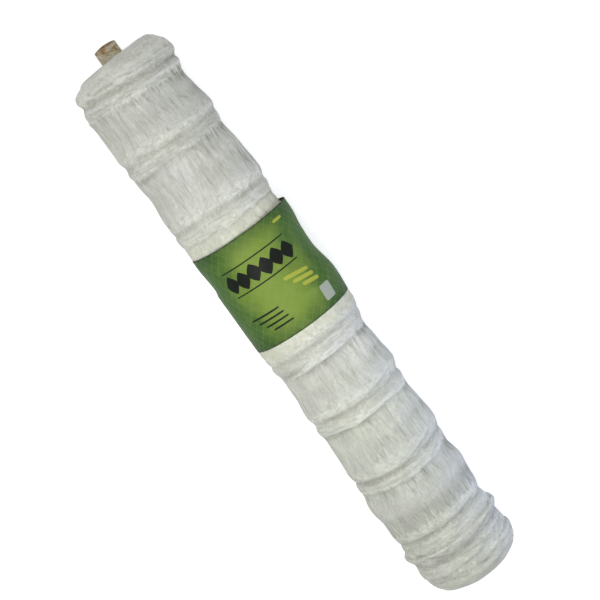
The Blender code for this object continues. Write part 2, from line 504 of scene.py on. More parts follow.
def grid_mesh(name: str, points: Rows, closed: bool) -> Piece:
    """Make a quad mesh from rows of points.

    Args:
        name: the object's name.
        points: an array of rows by columns by 3.
        closed: whether the last row joins the first, and each row's last point its first.

    Returns:
        The new object, linked to the scene.
    """
    rows, columns = points.shape[:2]
    i = np.arange(rows if closed else rows - 1)[:, None]
    j = np.arange(columns if closed else columns - 1)[None, :]
    here, below, right = i * columns, (i + 1) % rows * columns, (j + 1) % columns
    quads = np.stack([here + j, below + j, below + right, here + right], axis=-1).ravel()
    return plain_mesh(name, points.ravel(), quads, np.arange(0, len(quads), 4))


def read(data: bpy.types.bpy_prop_collection, name: str, width: int, kind: type) -> Rows:
    """Read one property of every element in a mesh's list.

    Args:
        data: the list.
        name: the property's name.
        width: how many numbers each element has.
        kind: what kind of number they are.

    Returns:
        The numbers, element after element.
    """
    values = np.zeros(len(data) * width, kind)
    data.foreach_get(name, values)
    return values


def mark(piece: Piece, name: str, values: Rows) -> None:
    """Store one number for each of a piece's points, for its material to read."""
    marks = piece.data.attributes.new(name, "FLOAT", "POINT")
    marks.data.foreach_set("value", values.astype(np.float32).ravel())


def dress(piece: Piece, finish: Material, node: str) -> None:
    """Give a piece its material and the body it rides on.

    Args:
        piece: the piece.
        finish: its material.
        node: the solid that it stands for.
    """
    piece.data.materials.clear()
    piece.data.materials.append(finish)
    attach(piece, BODY)
    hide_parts(node)
    LOG.info("%s: %d faces", piece.name, len(piece.data.polygons))


# ---- node trees ----------------------------------------------------------------------
class Graph:
    """A shader or geometry node tree while it is being wired."""

    def __init__(self, tree: bpy.types.NodeTree) -> None:
        """Keep the tree that nodes are added to."""
        self.tree = tree

    def add(self, kind: str, inputs: dict | None = None, **settings: object) -> bpy.types.Node:
        """Add a node, set its properties, and link or fill its inputs.

        Args:
            kind: the node's type name.
            inputs: socket names or numbers, each with a value or an output socket.
            **settings: the node's own properties.

        Returns:
            The new node.
        """
        made = self.tree.nodes.new(kind)
        for name, value in settings.items():
            setattr(made, name, value)
        for key, value in (inputs or {}).items():
            self.feed(made.inputs[key], value)
        return made

    def feed(self, socket: Socket, value: Value) -> None:
        """Link an output to a socket, or set the socket's own value.

        Args:
            socket: the input to fill.
            value: an output socket, or a plain value.
        """
        if isinstance(value, Socket):
            self.tree.links.new(value, socket)
        else:
            socket.default_value = value

    def math(self, operation: str, *values: Value) -> Socket:
        """Add a Math node and return its result."""
        return self.add("ShaderNodeMath", dict(enumerate(values)), operation=operation).outputs[0]

    def times(self, first: Value, second: Value) -> Socket:
        """Multiply two numbers."""
        return self.math("MULTIPLY", first, second)

    def minus(self, first: Value, second: Value) -> Socket:
        """Take the second number from the first."""
        return self.math("SUBTRACT", first, second)

    def sloped(self, value: Value, slope: Value, start: Value) -> Socket:
        """Return start plus slope times a value."""
        return self.math("MULTIPLY_ADD", value, slope, start)

    def off(self, value: Value, middle: Value) -> Socket:
        """Return how far a value is from a middle one."""
        return self.math("ABSOLUTE", self.minus(value, middle))

    def weighed(self, *parts: tuple[Value, float]) -> Socket:
        """Add up values.

        Args:
            *parts: each value with its weight.

        Returns:
            The sum of each value times its weight.
        """
        total: Value = 0.0
        for value, weight in parts:
            total = self.sloped(value, weight, total)
        return total

    def combine(self, x: Value, y: Value, z: Value) -> Socket:
        """Make a vector of three numbers."""
        return self.add("ShaderNodeCombineXYZ", {0: x, 1: y, 2: z}).outputs[0]

    def split(self, vector: Value) -> tuple[Socket, ...]:
        """Return a vector's three numbers."""
        return tuple(self.add("ShaderNodeSeparateXYZ", {0: vector}).outputs)

    def vector(self, operation: str, first: Value, second: Value) -> Socket:
        """Add a Vector Math node and return its vector."""
        inputs = {0: first, 1: second}
        return self.add("ShaderNodeVectorMath", inputs, operation=operation).outputs[0]

    def turned(self, axis: str, vector: Value, center: Value, angle: Value) -> Socket:
        """Turn a vector about an axis through a centre.

        Args:
            axis: X or Z.
            vector: what is turned.
            center: a point on the axis.
            angle: how far, in radians.

        Returns:
            The turned vector.
        """
        inputs = {"Vector": vector, "Center": center, "Angle": angle}
        made = self.add("ShaderNodeVectorRotate", inputs, rotation_type=f"{axis}_AXIS")
        return made.outputs[0]

    def stretched(self, place: Value, along: Value, across: Value) -> Socket:
        """Scale a place along the roll and across it."""
        return self.vector("MULTIPLY", place, self.combine(along, across, across))

    def noise(self, place: Value, scale: Value, detail: float, rough: float = 0.6) -> Socket:
        """Add a noise texture and return its value, from 0 to 1."""
        inputs = {"Vector": place, "Scale": scale, "Detail": detail, "Roughness": rough}
        return self.add("ShaderNodeTexNoise", inputs).outputs[0]

    def full_noise(self, place: Value, scale: Value, detail: float) -> Socket:
        """Return noise whose contrast is raised to fill 0 to 1."""
        return self.ramp(self.noise(place, scale, detail), 0.3, 0.7)

    def ramp(
        self, value: Value, low: Value, high: Value, to_low: Value = 0.0, to_high: Value = 1.0
    ) -> Socket:
        """Map a value smoothly from low..high to to_low..to_high."""
        inputs = {0: value, 1: low, 2: high, 3: to_low, 4: to_high}
        return self.add("ShaderNodeMapRange", inputs, interpolation_type="SMOOTHSTEP").outputs[0]

    def mix(self, share: Value, first: Value, second: Value) -> Socket:
        """Mix two colours and return the result."""
        return self.add("ShaderNodeMix", {0: share, 6: first, 7: second}, data_type="RGBA").outputs[2]

    def layered(self, color: Value, *coats: tuple[Value, Value, Value]) -> Socket:
        """Lay tints over a colour, one after the other.

        Args:
            color: what lies beneath.
            *coats: each tint's mask, its strength and its colour.

        Returns:
            The colour on top.
        """
        for mask, strength, tint in coats:
            color = self.mix(self.times(mask, strength), color, tint)
        return color


class Kind(Enum):
    """What a node group's socket carries."""

    NUMBER = "NodeSocketFloat"
    WHOLE = "NodeSocketInt"
    VECTOR = "NodeSocketVector"
    GEOMETRY = "NodeSocketGeometry"
    MATERIAL = "NodeSocketMaterial"


class Group(Graph):
    """A node group with named inputs and outputs."""

    def __init__(
        self, name: str, inputs: dict[str, float | Kind], output: str, carries: Kind, tree_type: str
    ) -> None:
        """Make the group and its sockets.

        Args:
            name: the group's name.
            inputs: each input's starting number, or what else it carries, by name.
            output: the output's name.
            carries: what the output carries.
            tree_type: a shader or a geometry tree.
        """
        super().__init__(bpy.data.node_groups.new(name, tree_type))
        sockets = self.tree.interface
        for label, value in inputs.items():
            kind = value if isinstance(value, Kind) else Kind.NUMBER
            if isinstance(value, int):
                kind = Kind.WHOLE
            socket = sockets.new_socket(label, in_out="INPUT", socket_type=kind.value)
            if not isinstance(value, Kind):
                socket.default_value = value
        sockets.new_socket(output, in_out="OUTPUT", socket_type=carries.value)
        self.given = self.tree.nodes.new("NodeGroupInput").outputs
        self.result = self.tree.nodes.new("NodeGroupOutput").inputs[output]


class Effect(Group):
    """A shader group that puts out one mask."""

    def __init__(self, name: str, inputs: dict[str, float | Kind]) -> None:
        """Make the group and its sockets; inputs are as in Group."""
        super().__init__(name, inputs, "Mask", Kind.NUMBER, "ShaderNodeTree")

    def use(self, graph: Graph, **inputs: Value) -> Socket:
        """Place the group in a material.

        Args:
            graph: the material's tree.
            **inputs: values by name, with underscores for spaces.

        Returns:
            The mask.
        """
        made = graph.add("ShaderNodeGroup", node_tree=self.tree)
        for name, value in inputs.items():
            graph.feed(made.inputs[name.replace("_", " ")], value)
        return made.outputs[0]


class StreakGroup(Effect):
    """Fine streaks of stretched net that run along the roll or around it."""

    def __init__(self) -> None:
        """Build the group."""
        numbers = {"Along": 6.0, "Across": 170.0, "Slew": 0.0, "Drift": 0.0, "Wander": 14.0}
        super().__init__("net_streaks", {"Place": Kind.VECTOR, "Axis": Kind.VECTOR} | numbers)
        given = self.given
        away = self.minus(self.noise(given["Place"], given["Wander"], 2.0, 0.5), 0.5)
        slewed = self.turned("X", given["Place"], given["Axis"], self.times(away, given["Slew"]))
        shift = self.combine(self.times(away, given["Drift"]), 0.0, 0.0)
        moved = self.vector("ADD", slewed, shift)
        streaks = self.noise(self.stretched(moved, given["Along"], given["Across"]), 1.0, 3.0, 0.62)
        self.feed(self.result, self.ramp(streaks, 0.28, 0.72))


class SpeckGroup(Effect):
    """Scattered specks or patches with soft edges."""

    def __init__(self) -> None:
        """Build the group."""
        numbers = {"Scale": 120.0, "Cover": 0.3, "Softness": 0.1}
        super().__init__("specks", {"Place": Kind.VECTOR} | numbers)
        cloud = self.noise(self.given["Place"], self.given["Scale"], 4.0, 0.5)
        edge = self.sloped(self.given["Cover"], -0.5, 0.72)
        top = self.math("ADD", edge, self.given["Softness"])
        self.feed(self.result, self.ramp(cloud, edge, top))


class PatchGroup(Effect):
    """One printed shape: a diamond, an oval or a rounded bar, by its corner power."""

    blur = 0.03

    def __init__(self) -> None:
        """Build the group."""
        numbers = {"Half Width": 0.02, "Half Height": 0.005, "Turn": 0.0, "Power": 8.0}
        super().__init__("printed_patch", {"Place": Kind.VECTOR, "Middle": Kind.VECTOR} | numbers)
        given = self.given
        away = self.vector("SUBTRACT", given["Place"], given["Middle"])
        x, y, _ = self.split(self.turned("Z", away, (0.0, 0.0, 0.0), given["Turn"]))
        parts = []
        for value, half in ((x, "Half Width"), (y, "Half Height")):
            share = self.math("ABSOLUTE", self.math("DIVIDE", value, given[half]))
            parts.append(self.math("POWER", share, given["Power"]))
        total = self.math("ADD", *parts)
        self.feed(self.result, self.ramp(total, 1.0 - self.blur, 1.0 + self.blur, 1.0, 0.0))


@dataclass(frozen=True)
class Groups:
    """The effects that the materials share."""

    streaks: StreakGroup
    specks: SpeckGroup
    patch: PatchGroup


# ---- finishes ------------------------------------------------------------------------
Color = tuple[float, float, float, float]
BLACK: Color = (0.0, 0.0, 0.0, 1.0)


def linear(value: int) -> float:
    """Turn one display value, from 0 to 255, into light from 0 to 1."""
    share = value / 255
    return share / 12.92 if share <= 0.04045 else ((share + 0.055) / 1.055) ** 2.4


def srgb(red: int, green: int, blue: int) -> Color:
    """Turn a display colour into the linear one that shaders use."""
    return (linear(red), linear(green), linear(blue), 1.0)


class Streak(NamedTuple):
    """One set of streaks: its share of the web, its scales, and how it wanders."""

    share: float
    along: float
    across: float
    slew: float
    drift: float
    wander: float


class Finish:
    """A material and the tree that it is wired in."""

    def __init__(self, name: str, gloss: float, groups: Groups) -> None:
        """Make the material.

        Args:
            name: its name.
            gloss: its specular level, the same all over.
            groups: the shared effects.
        """
        self.material = bpy.data.materials.new(name)
        self.material.use_nodes = True
        self.groups = groups
        self.graph = Graph(self.material.node_tree)
        self.shader = self.material.node_tree.nodes["Principled BSDF"]
        self.shader.inputs["Specular IOR Level"].default_value = gloss
        self.place = self.graph.add("ShaderNodeTexCoord").outputs["Object"]

    def attribute(self, name: str) -> Socket:
        """Read one of the piece's own values."""
        return self.graph.add("ShaderNodeAttribute", attribute_name=name).outputs["Fac"]

    def specks(self, place: Value, scale: float, cover: float, softness: float) -> Socket:
        """Return a mask of scattered specks."""
        group = self.groups.specks
        return group.use(self.graph, Place=place, Scale=scale, Cover=cover, Softness=softness)

    def streaks(self, place: Value, axis: Vector, streak: Streak) -> Socket:
        """Return a mask of one set of streaks.

        Args:
            place: where the streaks are read.
            axis: a point on the roll's axis.
            streak: how they run.

        Returns:
            The mask.
        """
        values = {key.capitalize(): value for key, value in streak._asdict().items()}
        del values["Share"]
        return self.groups.streaks.use(self.graph, Place=place, Axis=axis, **values)

    def wire(self, color: Value, roughness: Value, height: Value, distance: float) -> None:
        """Feed the shader its colour, its roughness and its relief.

        Args:
            color: base colour.
            roughness: roughness over the surface.
            height: relief from 0 to 1.
            distance: how deep the relief is, in metres.
        """
        bump = self.graph.add("ShaderNodeBump", {"Height": height, "Distance": distance})
        self.graph.feed(self.shader.inputs["Base Color"], color)
        self.graph.feed(self.shader.inputs["Roughness"], roughness)
        self.graph.feed(self.shader.inputs["Normal"], bump.outputs[0])


@dataclass(frozen=True)
class NettingFinish:
    """Many layers of fine translucent white net, seen as streaks and knots.

    The panels show streaks that cross, and the gathers hoops in a tangle.  Shade is painted into
    grooves, at the foot of ring steps and into creases, and highlights onto crests, rings and welts.
    """

    light: Color = srgb(213, 214, 206)
    shade: Color = srgb(172, 174, 166)
    cream: Color = srgb(229, 231, 212)
    cool: Color = srgb(205, 207, 203)
    # the colour of the painted shade, also used for the dark specks
    hollow: Color = srgb(132, 133, 121)
    # the colour of the painted highlights, also used for the pale knots and crumbs
    bright: Color = srgb(228, 230, 222)
    mossy: Color = srgb(201, 209, 188)
    panel_streaks: tuple[Streak, ...] = (
        Streak(0.20, 13.0, 80.0, 0.9, 0.0, 12.0),
        Streak(0.20, 40.0, 200.0, 0.6, 0.0, 20.0),
        Streak(0.10, 30.0, 650.0, 0.8, 0.0, 25.0),
    )
    gather_streaks: tuple[Streak, ...] = (
        Streak(0.40, 150.0, 22.0, 0.0, 0.04, 16.0),
        Streak(0.16, 620.0, 30.0, 0.0, 0.03, 30.0),
    )
    bump: float = 0.0012

    def web(self, finish: Finish, run: Value, gathered: Value, axis: Vector) -> Socket:
        """Return how much white net lies at each place, from 0 to 1.

        Args:
            finish: the material being wired.
            run: the place, with the end faces' run from the bore as its X.
            gathered: where the net is gathered.
            axis: a point on the roll's axis.

        Returns:
            The amount.
        """
        graph, place = finish.graph, finish.place
        milk = graph.full_noise(place, 75.0, 3.0)
        grain = graph.full_noise(place, 330.0, 2.0)
        tangle = graph.full_noise(graph.stretched(run, 95.0, 60.0), 1.0, 3.0)
        laid = [(finish.streaks(place, axis, row), row.share) for row in self.panel_streaks]
        bunched = [(finish.streaks(run, axis, row), row.share) for row in self.gather_streaks]
        return graph.mix(
            gathered,
            graph.weighed(*laid, (milk, 0.26), (grain, 0.24)),
            graph.weighed(*bunched, (tangle, 0.36), (grain, 0.08)),
        )

    def build(self, groups: Groups, axis: Vector) -> Material:
        """Make the material for the wound surface.

        Args:
            groups: the shared effects.
            axis: a point on the roll's axis.

        Returns:
            The material.
        """
        finish = Finish("netting_wound", 0.35, groups)
        graph, place = finish.graph, finish.place
        gathered, hollow = finish.attribute("gathered"), finish.attribute("hollow")
        x, y, z = graph.split(place)
        run = graph.combine(finish.attribute("run"), y, z)
        web = self.web(finish, run, gathered, axis)
        clouds = graph.noise(place, 7.0, 2.0, 0.5)
        blotch = graph.noise(graph.stretched(place, 22.0, 9.0), 1.0, 3.0)
        green = graph.times(graph.ramp(x, 0.05, 0.45), graph.ramp(clouds, 0.4, 0.6, 0.6, 0.2))
        lit = graph.times(finish.attribute("crest"), graph.ramp(web, 0.1, 0.7))
        gaps = graph.ramp(web, 0.15, 0.7, 1.0, 0.0)
        knots = finish.specks(place, 130.0, 0.42, 0.2)
        pits = finish.specks(run, 210.0, 0.36, 0.16)
        crumbs = finish.specks(place, 330.0, 0.40, 0.18)
        color = graph.layered(
            graph.mix(graph.ramp(clouds, 0.35, 0.65), self.light, self.cool),
            (gathered, 0.25, self.light),
            (green, 1.0, self.mossy),
            (finish.attribute("warmth"), 1.0, self.cream),
            (gaps, graph.sloped(gathered, -0.04, 0.66), self.shade),
            (graph.ramp(blotch, 0.35, 0.65, 1.0, 0.0), 0.4, self.shade),
            # painted shade in grooves, at the foot of ring steps and in creases
            (hollow, 0.6, self.hollow),
            # painted highlight on crests, ring rims and welts
            (lit, 0.42, self.bright),
            (knots, graph.times(gathered, 0.42), self.bright),
            (pits, graph.sloped(gathered, 0.06, 0.06), self.hollow),
            (crumbs, graph.sloped(gathered, 0.08, 0.22), self.bright),
        )
        finish.wire(color, graph.ramp(web, 0.0, 1.0, 0.62, 0.48), web, self.bump)
        return finish.material


@dataclass(frozen=True)
class StrandFinish:
    """Single strands and knots of white net that lie loose on the surface."""

    bright: Color = srgb(224, 226, 218)
    dull: Color = srgb(186, 188, 179)
    cream: Color = srgb(220, 221, 202)

    def build(self, groups: Groups, wrapper_middle: float) -> Material:
        """Make the material for strands and knots.

        Args:
            groups: the shared effects.
            wrapper_middle: where the wrapper's middle is along X; strands near it are warmer.

        Returns:
            The material.
        """
        finish = Finish("netting_strand", 0.4, groups)
        graph, place = finish.graph, finish.place
        x, _, _ = graph.split(place)
        color = graph.layered(
            graph.mix(finish.attribute("tone"), self.dull, self.bright),
            (finish.specks(place, 60.0, 0.5, 0.3), 0.3, self.dull),
            (graph.ramp(graph.off(x, wrapper_middle), 0.19, 0.27, 1.0, 0.0), 0.8, self.cream),
        )
        grain = graph.noise(place, 900.0, 2.0, 0.5)
        finish.wire(color, graph.ramp(grain, 0.3, 0.7, 0.4, 0.55), grain, 0.0002)
        return finish.material


@dataclass(frozen=True)
class PaperFinish:
    """Spiral-wound kraft paper, dusty and rubbed pale, dark at its cut rim."""

    kraft: Color = srgb(204, 192, 162)
    deep: Color = srgb(92, 68, 40)
    dust: Color = srgb(202, 196, 174)
    pale: Color = srgb(222, 216, 200)
    rust: Color = srgb(150, 112, 62)

    def build(self, groups: Groups, rim: float, axis: Vector) -> Material:
        """Make the material for the core.

        Args:
            groups: the shared effects.
            rim: where the proud rim is along X.
            axis: a point on the roll's axis.

        Returns:
            The material.
        """
        finish = Finish("core_paper_kraft", 0.25, groups)
        graph, place = finish.graph, finish.place
        x, y, z = graph.split(place)
        angle = graph.math("ARCTAN2", graph.minus(z, axis.z), graph.minus(y, axis.y))
        plies = graph.weighed((x, 1.0 / PLY_PITCH), (angle, 1.0 / TURN))
        seam = graph.ramp(graph.off(graph.math("FRACT", plies), 0.5), 0.0, 0.03, 1.0, 0.0)
        fibre = graph.noise(graph.stretched(place, 160.0, 700.0), 1.0, 3.0, 0.5)
        stain = graph.noise(place, 38.0, 3.0)
        bands = graph.noise(graph.stretched(place, 130.0, 22.0), 1.0, 3.0)
        near = graph.ramp(graph.minus(x, rim), 0.004, 0.014, 0.9, 0.0)
        color = graph.layered(
            graph.mix(graph.ramp(stain, 0.3, 0.6), self.rust, self.kraft),
            (finish.specks(place, 40.0, 0.62, 0.16), 0.9, self.dust),
            (graph.ramp(bands, 0.38, 0.46, 1.0, 0.0), 0.8, self.rust),
            (graph.ramp(fibre, 0.35, 0.7, 1.0, 0.0), 0.22, self.deep),
            (finish.specks(place, 55.0, 0.26, 0.12), 0.8, self.pale),
            (seam, 0.6, self.deep),
            (finish.specks(place, 120.0, 0.20, 0.08), 0.85, self.deep),
            (near, graph.ramp(bands, 0.4, 0.6, 1.0, 0.5), self.deep),
        )
        height = graph.minus(fibre, seam)
        finish.wire(color, graph.ramp(stain, 0.3, 0.7, 0.92, 0.78), height, 0.0005)
        return finish.material


class Spot(NamedTuple):
    """One printed shape on the wrapper, in metres from the design's middle."""

    across: float
    along: float
    half_width: float
    half_height: float
    turn: float
    power: float


@dataclass(frozen=True)
class WrapperFinish:
    """Printed green film: a plain design of diamonds, bars and a tag on a lattice."""

    width: float
    around: float
    dark: Color = srgb(38, 72, 36)
    green: Color = srgb(62, 96, 40)
    bright: Color = srgb(116, 140, 56)
    line: Color = srgb(138, 160, 94)
    ink: Color = srgb(14, 20, 13)
    yellow: Color = srgb(160, 168, 66)
    pale: Color = srgb(156, 163, 150)
    lattice: float = 0.034

    def design(self) -> tuple[tuple[Color, list[Spot]], ...]:
        """Lay out the design.

        Returns:
            Each ink with its shapes: a dark row of diamonds between two fine bars, with
            short bars below; three slanted yellow bars and a small one; and a pale tag.
        """
        diamonds = [
            Spot(-0.120 + 0.044 * k, 0.118 + 0.004 * (k % 2), 0.026, 0.031, 0.0, 1.2)
            for k in range(6)
        ]
        rules = [Spot(-0.010, along, 0.125, 0.0022, 0.0, 8.0) for along in (0.075, 0.160)]
        short = [
            Spot(-0.085 + 0.012 * k, 0.246 + 0.018 * k, 0.055 - 0.006 * k, 0.0030, 0.0, 6.0)
            for k in range(4)
        ]
        slanted = [
            Spot(0.076 + 0.012 * k, 0.196 + 0.022 * k, 0.046 - 0.008 * k, 0.0062, -0.17, 5.0)
            for k in range(3)
        ]
        small = Spot(0.128, 0.030, 0.020, 0.0045, 0.0, 4.0)
        tag = Spot(0.128, 0.298, 0.022, 0.026, 0.0, 9.0)
        dark = diamonds + rules + short
        return (self.ink, dark), (self.yellow, slanted + [small]), (self.pale, [tag])

    def build(self, groups: Groups) -> Material:
        """Make the material for the wrapper.

        Args:
            groups: the shared effects.

        Returns:
            The material.
        """
        finish = Finish("wrapper_printed_film", 0.16, groups)
        graph = finish.graph
        u, v, _ = graph.split(graph.add("ShaderNodeUVMap", uv_map="sheet").outputs[0])
        half = self.around / 2          # the design shows twice around the roll
        turned = graph.math("MODULO", graph.math("ADD", u, half / 2 + half), half)
        across = graph.minus(turned, half / 2)
        haze = graph.noise(finish.place, 26.0, 3.0, 0.5)
        color = self.ground(graph, across, v)
        color = graph.mix(graph.ramp(haze, 0.45, 0.75, 0.0, 0.14), color, self.line)
        for ink, spots in self.design():
            color = self.printed(finish, graph.combine(across, v, 0.0), color, ink, spots)
        creases = groups.streaks.use(graph, Place=finish.place, Along=9.0, Across=22.0)
        finish.wire(color, graph.ramp(haze, 0.3, 0.7, 0.46, 0.6), creases, 0.0016)
        return finish.material

    def ground(self, graph: Graph, across: Value, v: Value) -> Socket:
        """Return the green ground with its darker borders, a painted shadow line at its edges, and pale
        lattice.

        Args:
            graph: the material's tree.
            across: metres around the roll from the design's middle.
            v: metres from the wrapper's first edge.

        Returns:
            The ground colour.
        """
        half = self.width / 2
        off = graph.off(v, half)
        clouds = graph.noise(graph.combine(across, v, 0.0), 9.0, 3.0)
        ragged = graph.ramp(clouds, 0.3, 0.7, -0.035, 0.035)
        side = graph.math("ADD", graph.off(across, -0.006), ragged)
        lines = []
        for sign in (1.0, -1.0):
            slant = graph.math("ADD", across, graph.times(v, sign))
            share = graph.math("FRACT", graph.sloped(slant, 1.0 / self.lattice, 9.0 / self.lattice))
            lines.append(graph.ramp(graph.off(share, 0.5), 0.0, 0.035, 1.0, 0.0))
        return graph.layered(
            graph.mix(graph.ramp(side, 0.02, 0.18), self.bright, self.green),
            (graph.ramp(off, half * 0.60, half * 1.08), 0.75, self.dark),
            # painted shadow: a thin dark line in the ink's colour along both edges of the film
            (graph.ramp(off, half - 0.005, half - 0.002), 0.6, self.ink),
            (graph.math("MAXIMUM", *lines), 0.4, self.line),
        )

    @staticmethod
    def printed(finish: Finish, place: Value, color: Value, ink: Color, spots: list[Spot]) -> Socket:
        """Print shapes of one ink over a colour.

        Args:
            finish: the material being wired.
            place: place on the design, in metres.
            color: what lies beneath.
            ink: the shapes' colour.
            spots: the shapes.

        Returns:
            The colour with the shapes on it.
        """
        total: Value = 0.0
        for spot in spots:
            mask = finish.groups.patch.use(
                finish.graph,
                Place=place,
                Middle=(spot.across, spot.along, 0.0),
                Half_Width=spot.half_width,
                Half_Height=spot.half_height,
                Turn=spot.turn,
                Power=spot.power,
            )
            total = finish.graph.math("MAXIMUM", total, mask)
        return finish.graph.mix(total, color, ink)


@dataclass(frozen=True)
class FloorFinish:
    """A plain pale studio floor."""

    color: Color = (0.96, 0.96, 0.96, 1.0)
    pale: Color = (0.98, 0.98, 0.98, 1.0)
    glow: Color = (0.45, 0.45, 0.45, 1.0)

    def build(self, groups: Groups) -> Material:
        """Make the floor's material, which glows a little to the camera alone.

        Args:
            groups: the shared effects.

        Returns:
            The material.
        """
        finish = Finish("studio_floor", 0.1, groups)
        graph, inputs = finish.graph, finish.shader.inputs
        grain = graph.noise(finish.place, 3.0, 2.0, 0.5)
        seen = graph.add("ShaderNodeLightPath").outputs["Is Camera Ray"]
        graph.feed(inputs["Emission Color"], graph.mix(seen, BLACK, self.glow))
        inputs["Emission Strength"].default_value = 1.0
        color = graph.mix(grain, self.color, self.pale)
        finish.wire(color, graph.ramp(grain, 0.3, 0.7, 0.85, 0.9), grain, 0.0001)
        return finish.material


# ---- the wound netting ---------------------------------------------------------------
@dataclass
class Marks:
    """What the relief does at each point: its height, and what the material reads.

    The last three run from 0 to 1: where the net is gathered, where shade is painted into
    grooves, at the foot of ring steps and into creases, and where a highlight is painted on a crest,
    a ring or a welt.
    """

    height: Rows
    gathered: Rows
    hollow: Rows
    crest: Rows


@dataclass
class Relief:
    """The winding's fine relief: sharp grooves, ragged rings, streaks, knots, painted shade and
    highlights.
    """

    form: WoundForm
    groove_depth: float = 0.0042
    groove_reach: float = 0.0085
    ring_foot: float = 0.009            # from a groove on to where its ring rises
    ring_ease: float = 0.008
    ring_rise: float = 0.0010
    step_fall: float = 0.0022
    step_ease: float = 0.0035
    foot_away: float = 0.004            # from the step on to the hollow at its foot
    foot_reach: float = 0.006
    foot_depth: float = 0.0010
    crest_back: float = 0.55            # share of the lead at which a crest is brightest
    crest_reach: float = 0.013
    rim_back: float = 0.014             # from a ring's brightest line on to its step
    rim_reach: float = 0.010
    gather_early: float = 0.014         # how far before its crest the gathered net starts
    gather_ease: float = 0.016
    shadow_reach: float = 0.015
    shadow_away: float = -0.002         # from a groove on to its shadow's middle
    shadow: float = 0.45
    foot_shadow: float = 0.6
    pillow: float = 0.6
    hoop_twist: float = 1.5             # radians that the hoops drift over the whole length
    crease_drift: float = 0.3           # share of the winding's wander that creases follow
    wander: float = 0.0050
    ragged: float = 0.0045
    streak: float = 0.0010
    bunch: float = 0.0014
    bend_angle: float = 0.12
    under_wrapper: float = 0.0017
    first_end: float = 0.056            # the net is gathered all over beyond these two
    second_end: float = 1.884
    slow: Unevenness = Unevenness(11, 9, 34)
    jag: Unevenness = Unevenness(12, 34, 60)
    broad_streaks: Unevenness = Unevenness(13, 92, 46)
    fine_streaks: Unevenness = Unevenness(14, 160, 110)
    pillows: Unevenness = Unevenness(20, 30, 50)
    hoops: Unevenness = Unevenness(15, 34, 300)
    knots: Unevenness = Unevenness(16, 110, 240)
    swirls: Unevenness = Unevenness(17, 7, 22)
    presence: Unevenness = Unevenness(18, 11, 12)
    bend: Unevenness = Unevenness(19, 14, 20)

    def gathers(self, at: Rows, angle: Rows, drift: Rows, marks: Marks) -> None:
        """Add what the gathers do at each point.

        Args:
            at: places along the roll.
            angle: angles around it.
            drift: how far the winding wanders along the roll.
            marks: what is added to.
        """
        sizes = self.form.sizes
        share = at / sizes.width
        teeth = self.ragged * self.jag(share, angle)
        strength = np.clip(0.7 + 0.6 * self.presence(share, angle), 0.2, 1.2)
        broken = 0.5 + 0.5 * strength + 0.35 * self.pillows(share, angle)
        for number, (gather, ring) in enumerate(zip(GATHERS, RINGS)):
            if number == UNDER_WRAPPER:
                continue
            past = at - gather.at - gather.slant * np.sin(angle) - drift
            past_step = past - ring.step_after - teeth
            groove = ring.groove * bell(past, self.groove_reach) * broken
            shown = np.clip(strength * ring.show * (1.0 - ring.lean * np.sin(angle)), 0.0, 1.1)
            before_step = 1.0 - smooth(past_step / self.step_ease + 0.5)
            on_ring = smooth((past - self.ring_foot) / self.ring_ease) * before_step
            eased = smooth((past - sizes.ring_after) / (sizes.step_after - sizes.ring_after))
            fall = max(gather.ring - gather.step, self.step_fall)
            foot = shown * bell(past_step - self.foot_away, self.foot_reach)
            marks.height = marks.height + shown * on_ring * (self.ring_rise + fall * eased)
            marks.height = marks.height - self.groove_depth * groove - self.foot_depth * foot
            # The crest and the ring's rim get painted highlights.
            top = strength * bell(past + self.crest_back * gather.lead, self.crest_reach)
            rim = shown * bell(past_step + self.rim_back, self.rim_reach)
            marks.crest = np.maximum(marks.crest, np.clip(top + rim, 0.0, 1.0))
            start = smooth((past + gather.lead + self.gather_early) / self.gather_ease)
            marks.gathered = np.maximum(marks.gathered, start * before_step)
            # The groove, a band around it and the foot of the ring's step get painted shade.
            shaded = groove * strength + bell(past - self.shadow_away, self.shadow_reach)
            shaded = np.maximum(self.shadow * shaded, self.foot_shadow * foot)
            marks.hollow = np.maximum(marks.hollow, shaded)
        for beyond in (self.first_end - at, at - self.second_end):
            marks.gathered = np.maximum(marks.gathered, smooth(beyond / self.gather_ease))

    def creases(self, at: Rows, angle: Rows, drift: Rows, marks: Marks) -> None:
        """Add the creases, with painted shade, and the welts, with painted highlights.

        Args:
            at: places along the roll.
            angle: angles around it.
            drift: how far the winding wanders along the roll.
            marks: what is added to.
        """
        for crease in CREASES:
            around = turns_from(angle, crease.angle) / math.radians(crease.spread)
            past = at - crease.at - crease.slant * around - self.crease_drift * drift
            fold = bell(past, crease.reach) * np.exp(-(around**4))
            marks.height = marks.height - crease.depth * fold
            # A welt gets a painted highlight, a crease painted shade.
            if crease.depth < 0.0:
                marks.crest = np.maximum(marks.crest, crease.shade * fold)
            else:
                marks.hollow = np.maximum(marks.hollow, crease.shade * fold)

